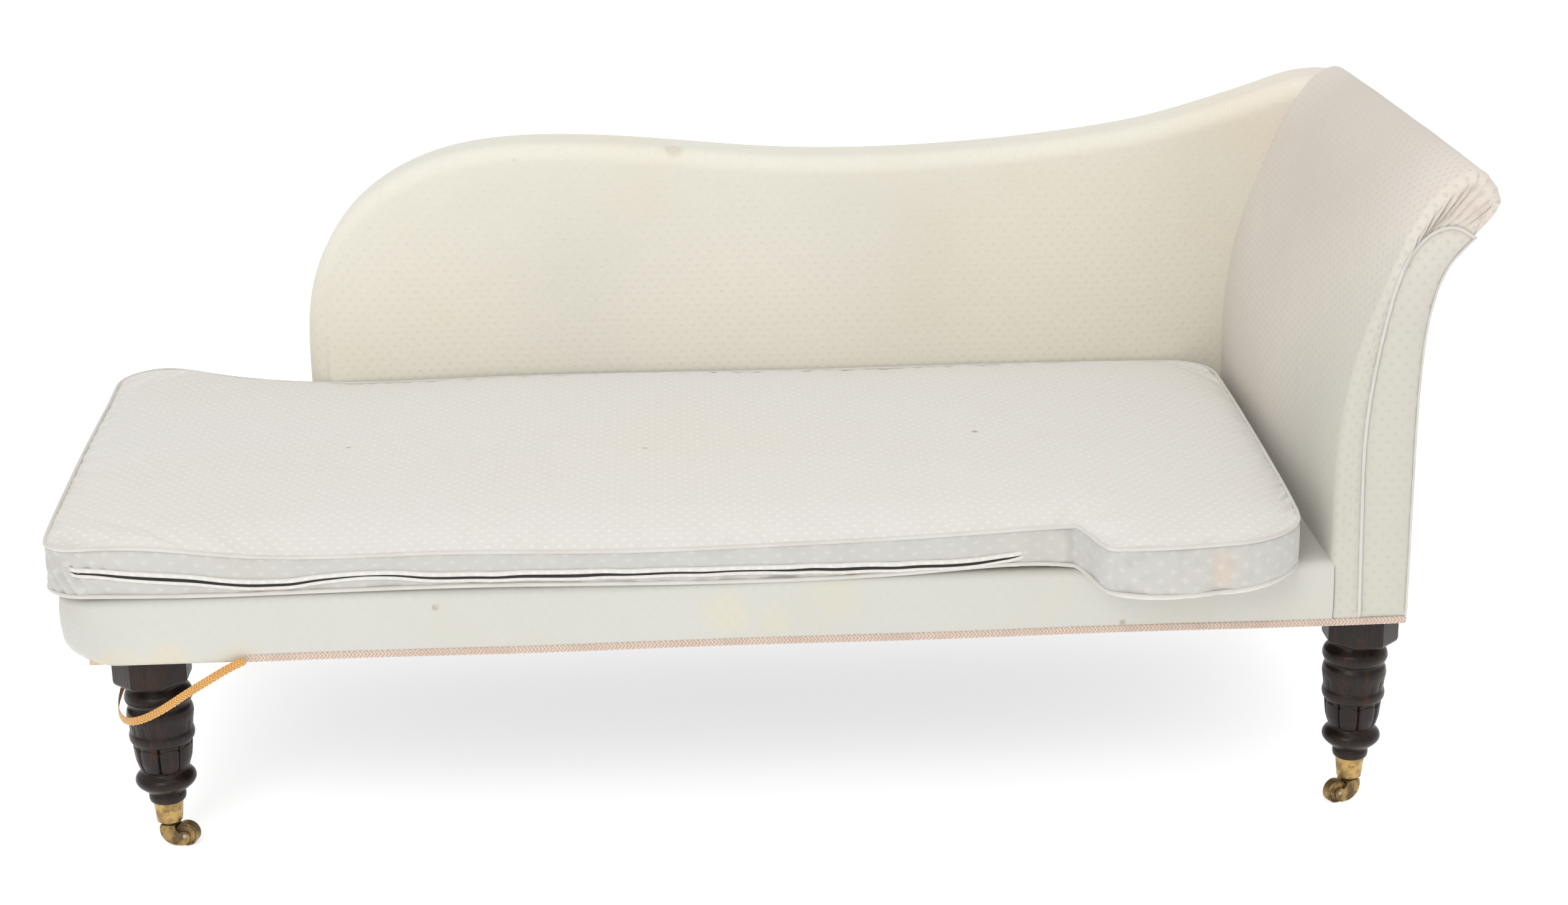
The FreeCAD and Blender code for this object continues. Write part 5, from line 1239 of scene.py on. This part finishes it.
def make_legs(wood):
    """Four turned legs: r(a, z) is the turning's radius less its carving, and an octagonal block above it.

    Eight lappets swell between grooves round the bowl, their tops arched under a bead, and the band above
    the bead has sixteen flats. The block's radius is b / cos(a) within each eighth of a turn, and its
    corners are cut at a radius of their own.
    """
    turning = np.array(LEG_TURNING)
    span = (BLOCK_BASE - CUP_MOUTH) / 166
    places = even(turning, 190)
    soft = np.stack([np.interp(places, np.arange(len(turning)), turning[:, axis]) for axis in (0, 1)], axis=1)
    for _ in range(2):
        soft[1:-1] = 0.5 * soft[1:-1] + 0.25 * (soft[:-2] + soft[2:])
    radius, height = soft[:, 0] / 1000, soft[:, 1]
    z = CUP_MOUTH + 0.00015 + height * span
    angle = np.linspace(0, 2 * math.pi, 192, endpoint=False)
    h = height[:, None]
    eighth = np.abs(((angle / (math.pi / 4) + 0.5) % 1) - 0.5)[None]
    bowl = smooth((h - 44.5) / 2) * smooth((84 - h) / 2)
    groove = np.exp(-(eighth / 0.045) ** 2)
    arch = 79.5 - 5.0 * np.exp(-(eighth / 0.16) ** 2)
    above = smooth((h - arch) / 1.4) * smooth((85 - h) / 2)
    carved = bowl * (0.0024 * groove - 0.0012 * (1 - np.exp(-(eighth / 0.12) ** 2))) + above * 0.0013
    flats = np.abs(((angle / (math.pi / 8) + 0.5) % 1) - 0.5)[None]
    band = smooth((h - 100) / 2) * smooth((118 - h) / 6)
    carved = carved + band * (0.0011 * (0.5 - flats) - 0.0003) + band * 0.0006 * np.exp(-(flats / 0.05) ** 2)
    ring = radius[:, None] - carved
    column = spread(ring * np.cos(angle), ring * np.sin(angle), z[:, None])
    column_uv = uv_grid(np.append(angle, 2 * math.pi) * 0.035, z)
    flat_at, corner_at = 0.046, 0.0497
    turn = ((angle + math.pi / 8) % (math.pi / 4)) - math.pi / 8
    reach = np.minimum(flat_at / np.cos(turn), corner_at)
    levels = np.array([
        (0.30, 0.0), (0.92, 0.0), (0.957, 0.0015), (0.985, 0.0035), (1.0, 0.0065), (1.0, 0.035),
        (1.0, 0.0415), (0.4, 0.0417),
    ])
    wide = reach * levels[:, :1]
    block = spread(wide * np.cos(angle), wide * np.sin(angle), BLOCK_BASE + levels[:, 1:])
    for row, y in (("front", LEG_FRONT), ("back", LEG_BACK)):
        for side, sign in (("foot", -1), ("head", 1)):
            shift = np.array([sign * LEG_X, y, 0.0])
            off = shift + np.array([sign * 0.005, 0.0, 0.0])
            piece = piece_of(f"{row}_{side}_turning", [
                Patch(column + shift, uv=column_uv, close_columns=True),
                Patch(block + off, close_columns=True),
            ])
            seal(piece.data, fill=True)
            piece.data.polygons.foreach_set("use_smooth", np.ones(len(piece.data.polygons), bool))
            piece.data.set_sharp_from_angle(angle=math.radians(38))
            set_up(piece, wood, replaces=(f"{row}_{side}_leg",))


# Stage

# The photograph's camera, fitted: angles in radians, place in metres and lengths in its pixels
CAMERA_YAW, CAMERA_PITCH, CAMERA_ROLL = 0.0784, 0.31416, -0.00443
CAMERA_PLACE = (-0.09868, -3.55121, 1.56172)
PHOTO_WIDTH, FOCAL_LENGTH, CENTRE_SHIFT = 2522, 4400.9, -166.5
SENSOR = 36.0
WORLD_LIGHT, FLOOR_GLOW = 0.79, 0.58
WHITE = (1.0, 1.0, 1.0, 1.0)


def camera_matrix():
    """The camera's frame: yaw towards the arm, pitch down and a slight roll, as columns of a matrix."""
    yaw, pitch, roll = CAMERA_YAW, CAMERA_PITCH, CAMERA_ROLL
    ahead = np.array([math.sin(yaw) * math.cos(pitch), math.cos(yaw) * math.cos(pitch), -math.sin(pitch)])
    right = np.array([math.cos(yaw), -math.sin(yaw), 0.0])
    up = np.cross(right, ahead)
    turned_right = right * math.cos(roll) + up * math.sin(roll)
    turned_up = up * math.cos(roll) - right * math.sin(roll)
    matrix = np.eye(4)
    matrix[:3, 0], matrix[:3, 1], matrix[:3, 2] = turned_right, turned_up, -ahead
    matrix[:3, 3] = CAMERA_PLACE
    return Matrix(matrix.tolist())


def make_stage():
    """Pale floor, soft studio light and the camera."""
    scene = bpy.context.scene
    pale = Finish("studio_floor", rough=0.9)
    tone = pale.noise(pale.place(), 3.0, 2.0)
    pale.feed(
        Base_Color=pale.mix(tone, (0.90, 0.90, 0.90), (0.93, 0.93, 0.93)),
        Emission_Color=WHITE, Emission_Strength=FLOOR_GLOW)
    side = np.linspace(-9, 9, 5)
    across, along = np.meshgrid(side, side)
    floor = piece_of("floor", [Patch(spread(across, along, 0.0))])
    floor.data.materials.append(pale.material)
    world = bpy.data.worlds.new("studio")
    world.use_nodes = True
    background = world.node_tree.nodes["Background"]
    background.inputs[0].default_value, background.inputs[1].default_value = WHITE, WORLD_LIGHT
    scene.world = world
    for name, place, aim, size, power in (
        ("key", (-1.4, -3.4, 2.9), (0.1, 0.1, 0.4), 2.0, 52.0),
        ("top", (0.3, -0.6, 3.4), (0.1, 0.0, 0.4), 2.4, 26.0),
    ):
        light = bpy.data.lights.new(name, "AREA")
        light.size = size
        light.energy = power
        lamp = bpy.data.objects.new(name, light)
        scene.collection.objects.link(lamp)
        lamp.location = place
        lamp.rotation_mode = "QUATERNION"
        lamp.rotation_quaternion = (Vector(aim) - Vector(place)).to_track_quat("-Z", "Y")
    scene.view_settings.view_transform = "Standard"
    camera = bpy.data.cameras.new("camera")
    camera.sensor_width = SENSOR
    camera.lens = SENSOR * FOCAL_LENGTH / PHOTO_WIDTH
    camera.shift_x = CENTRE_SHIFT / PHOTO_WIDTH
    holder = bpy.data.objects.new("camera", camera)
    scene.collection.objects.link(holder)
    holder.matrix_world = camera_matrix()
    scene.camera = holder


# Marks of use, and over the back and arm a few marks of painted light and painted shade: where on the couch,
# how far they spread, their colour and how strong they are

PINK, YELLOW, BROWN, GREY = (0.74, 0.52, 0.40), (0.70, 0.58, 0.30), (0.30, 0.22, 0.14), (0.42, 0.40, 0.38)
BACK_STAINS_AND_PAINTED_LIGHT = [
    ((0.80, 0.38, 0.81), 0.16, PINK, 0.14), ((0.62, 0.37, 0.60), 0.40, YELLOW, 0.08),
    ((-0.10, 0.39, 0.75), 0.020, BROWN, 0.22), ((-0.33, 0.37, 0.745), 0.006, BROWN, 0.3),
    # The last three back marks are painted light: a pale cream over the lower back, where the cushion and the
    # arm shade it.
    ((-0.50, 0.37, 0.42), 0.32, (0.80, 0.76, 0.65), 0.5), ((0.00, 0.37, 0.42), 0.32, (0.80, 0.76, 0.65), 0.5),
    ((0.50, 0.37, 0.45), 0.36, (0.80, 0.76, 0.64), 0.5),
]
ARM_STAINS_AND_PAINTED_SHADE = [
    # The first two arm marks are painted shade: the first darkens the whole front facing where the key lamp
    # lights it, the second darkens the top of the roll where the top lamp lights it.
    ((0.84, -0.352, 0.45), 0.42, (0.50, 0.49, 0.43), 0.8),
    ((0.87, 0.05, 0.86), 0.40, (0.50, 0.44, 0.38), 0.55),
    ((0.88, -0.33, 0.82), 0.09, PINK, 0.14), ((0.82, -0.20, 0.80), 0.10, GREY, 0.10),
    ((0.83, -0.352, 0.70), 0.10, GREY, 0.12),
]
APRON_MARKS = [
    ((-0.05, -0.353, 0.315), 0.045, YELLOW, 0.22), ((0.02, -0.353, 0.300), 0.030, YELLOW, 0.15),
    ((-0.80, -0.353, 0.258), 0.050, (0.66, 0.55, 0.30), 0.3),
    ((-0.73, -0.353, 0.256), 0.050, (0.66, 0.55, 0.30), 0.3),
    ((-0.67, -0.353, 0.258), 0.045, (0.66, 0.52, 0.30), 0.3), ((-0.86, -0.33, 0.300), 0.11, GREY, 0.26),
    ((-0.41, -0.353, 0.335), 0.006, BROWN, 0.6), ((0.10, -0.353, 0.330), 0.04, YELLOW, 0.12),
    ((0.45, -0.353, 0.285), 0.006, BROWN, 0.6), ((0.77, -0.352, 0.270), 0.030, YELLOW, 0.4),
]
CUSHION_MARKS = [
    ((0.555, -0.436, 0.385), 0.026, (0.62, 0.46, 0.34), 0.38), ((0.30, 0.00, 0.43), 0.006, BROWN, 0.8),
    ((-0.55, 0.02, 0.43), 0.006, BROWN, 0.8), ((-0.05, 0.33, 0.425), 0.008, (0.10, 0.06, 0.06), 0.9),
    ((-0.10, -0.05, 0.43), 0.30, YELLOW, 0.07), ((-0.15, -0.02, 0.43), 0.006, BROWN, 0.7),
    ((0.45, -0.20, 0.43), 0.006, PINK, 0.8), ((-0.87, -0.34, 0.40), 0.05, GREY, 0.25),
]


# Operators, one for each piece or group of like pieces

COLOUR_NAMES = ("cover", "arm", "apron", "boxing", "cushion", "gimp", "gold", "wood", "brass")
BOXING_PITCH = 0.031
SHELF = {}


def finish_of(name):
    """A finish by name, made once."""
    sizes = bpy.context.scene.couch_sizes
    colours = bpy.context.scene.couch_colours
    pitch = sizes.spot_pitch
    cover, arm, apron, boxing, cushion, gimp, gold, wood, brass = (
        tuple(getattr(colours, kind)) for kind in COLOUR_NAMES)
    makers = {
        "back": (damask, "back_damask", cover, (0.0102, 0.0036, 0.0034), pitch, BACK_STAINS_AND_PAINTED_LIGHT, 0.55, 0.02),
        "arm": (damask, "arm_damask", arm, (0.0102, 0.0034, 0.0034), pitch, ARM_STAINS_AND_PAINTED_SHADE, 0.35, -0.20),
        "seat": (damask, "apron_damask", apron, (0.0102, 0.0034, 0.0032), pitch, APRON_MARKS, 0.4, 0.015),
        "top": (damask, "cushion_damask", cushion, (0.0102, 0.0040, 0.0034), pitch, CUSHION_MARKS, 0.3, 0.20),
        "boxing": (damask, "boxing_damask", boxing, (0.0110, 0.0056, 0.0042), BOXING_PITCH, CUSHION_MARKS,
                   0.15, 0.17),
        "piping": (corded, "piping_cloth", shade(cushion, 0.88), 0.004),
        "gimp": (braided, "gimp_weave", gimp, (0.42, 0.30, 0.24), GIMP_PITCH),
        "gold": (braided, "gold_weave", gold, (0.42, 0.19, 0.04), BRAID_PITCH),
        "wood": (polished_wood, "leg_polish", wood),
        "brass": (aged_brass, "castor_brass", brass),
        "steel": (dull_steel, "castor_steel"),
        "beech": (beech, "frame_beech"),
        "webbing": (coarse_cloth, "jute_webbing", (0.50, 0.40, 0.26), 0.0032, 0.6),
        "hessian": (coarse_cloth, "hessian", (0.42, 0.31, 0.18), 0.0022, 0.9),
        "dust": (coarse_cloth, "dust_cloth", (0.035, 0.035, 0.035), 0.0014, 0.4),
        "case": (coarse_cloth, "feather_case", (0.78, 0.76, 0.70), 0.0010, 0.2),
        "hair": (hair_pad, "curled_hair", (0.16, 0.12, 0.09)),
        # slit_shadow is the near-black sheet of painted shade in the placket's slit.
        "shadow": (coarse_cloth, "slit_shadow", (0.035, 0.032, 0.028), 0.0012, 0.5),
    }
    if name not in SHELF:
        maker, *values = makers[name]
        SHELF[name] = maker(*values)
    return SHELF[name]


class Making:
    """What the couch's operators share: each does its work and is finished."""

    def execute(self, context):
        self.work(context.scene.couch_sizes)
        return {"FINISHED"}


class StageOperator(Making, bpy.types.Operator):
    """Make the pale floor, the studio light and the camera"""

    bl_idname, bl_label = "couch.stage", "Stage"

    def work(self, sizes):
        make_stage()


class TornBraidOperator(Making, bpy.types.Operator):
    """Hang the torn length of braid under the foot end"""

    bl_idname, bl_label = "couch.torn_braid", "Torn braid"

    def work(self, sizes):
        make_loose_braid(finish_of("gold"))


class BackOperator(Making, bpy.types.Operator):
    """Cover the back inside and outside"""

    bl_idname, bl_label = "couch.back", "Back"

    def work(self, sizes):
        make_back(sizes, finish_of("back"))
        make_rear(finish_of("back"))


class ArmOperator(Making, bpy.types.Operator):
    """Cover the scrolled arm, with its facing and piping"""

    bl_idname, bl_label = "couch.arm", "Arm"

    def work(self, sizes):
        make_arm(sizes, finish_of("arm"))
        make_facing(finish_of("arm"))
        make_arm_outside(finish_of("arm"))
        make_arm_piping(finish_of("piping"))


class SeatOperator(Making, bpy.types.Operator):
    """Cover the apron and the deck, and sew on the gimp"""

    bl_idname, bl_label = "couch.seat", "Seat"

    def work(self, sizes):
        make_apron(finish_of("seat"))
        make_gimp(finish_of("gimp"))


class CushionOperator(Making, bpy.types.Operator):
    """Make the loose boxed cushion with its piping and placket"""

    bl_idname, bl_label = "couch.cushion", "Cushion"

    def work(self, sizes):
        cloth = (finish_of("top"), finish_of("boxing"))
        make_cushion(sizes, cloth, finish_of("piping"), finish_of("shadow"))


class LegOperator(Making, bpy.types.Operator):
    """Turn and carve the four legs"""

    bl_idname, bl_label = "couch.legs", "Legs"

    def work(self, sizes):
        make_legs(finish_of("wood"))


class CastorOperator(Making, bpy.types.Operator):
    """Finish the brass castors, their pins and screws"""

    bl_idname, bl_label = "couch.castors", "Castors"

    def work(self, sizes):
        names = list(frame["nodes"])
        paint([name for name in names if name.endswith(("_cup", "_horn", "_wheel"))], finish_of("brass"))
        paint([name for name in names if name.endswith("_axle")] + ["castor_pins"], finish_of("steel"))
        paint(["cup_screws"], finish_of("brass"))


class InsideOperator(Making, bpy.types.Operator):
    """Finish the beech frame, the webbing and the stuffing under the covers"""

    bl_idname, bl_label = "couch.inside", "Inside"

    def work(self, sizes):
        slots = {row["node"]: row["material_slot"] for row in frame["record"]["subparts"]}
        kinds = {"frame_wood": "beech", "webbing": "webbing", "hessian": "hessian", "stuffing": "hair",
                 "black_cloth": "dust", "cushion_feather": "case"}
        for slot, kind in kinds.items():
            paint([node for node, used in slots.items() if used == slot], finish_of(kind))
        paint(["foot_end_pad"], finish_of("hair"))


class CouchPanel(bpy.types.Panel):
    """The couch's pieces, sizes and colours in the sidebar."""

    bl_idname = "VIEW3D_PT_couch"
    bl_label = "Fainting couch"
    bl_space_type = "VIEW_3D"
    bl_region_type = "UI"
    bl_category = "Couch"

    def draw(self, context):
        for group in (context.scene.couch_sizes, context.scene.couch_colours):
            box = self.layout.box()
            for name in group.__annotations__:
                box.prop(group, name)
        for operator in OPERATORS:
            self.layout.operator(operator.bl_idname)


OPERATORS = [
    StageOperator, TornBraidOperator, BackOperator, ArmOperator, SeatOperator, CushionOperator, LegOperator,
    CastorOperator, InsideOperator,
]
CLASSES = [CouchSizes, CouchColours, *OPERATORS, CouchPanel]


def register():
    for kind in CLASSES:
        bpy.utils.register_class(kind)
    bpy.types.Scene.couch_sizes = bpy.props.PointerProperty(type=CouchSizes)
    bpy.types.Scene.couch_colours = bpy.props.PointerProperty(type=CouchColours)


def unregister():
    del bpy.types.Scene.couch_colours
    del bpy.types.Scene.couch_sizes
    for kind in reversed(CLASSES):
        bpy.utils.unregister_class(kind)


def main():
    """Makes every piece in order."""
    register()
    for name in ("stage", "torn_braid", "back", "arm", "seat", "cushion", "legs", "castors", "inside"):
        getattr(bpy.ops.couch, name)()


if __name__ == "__main__":
    main()
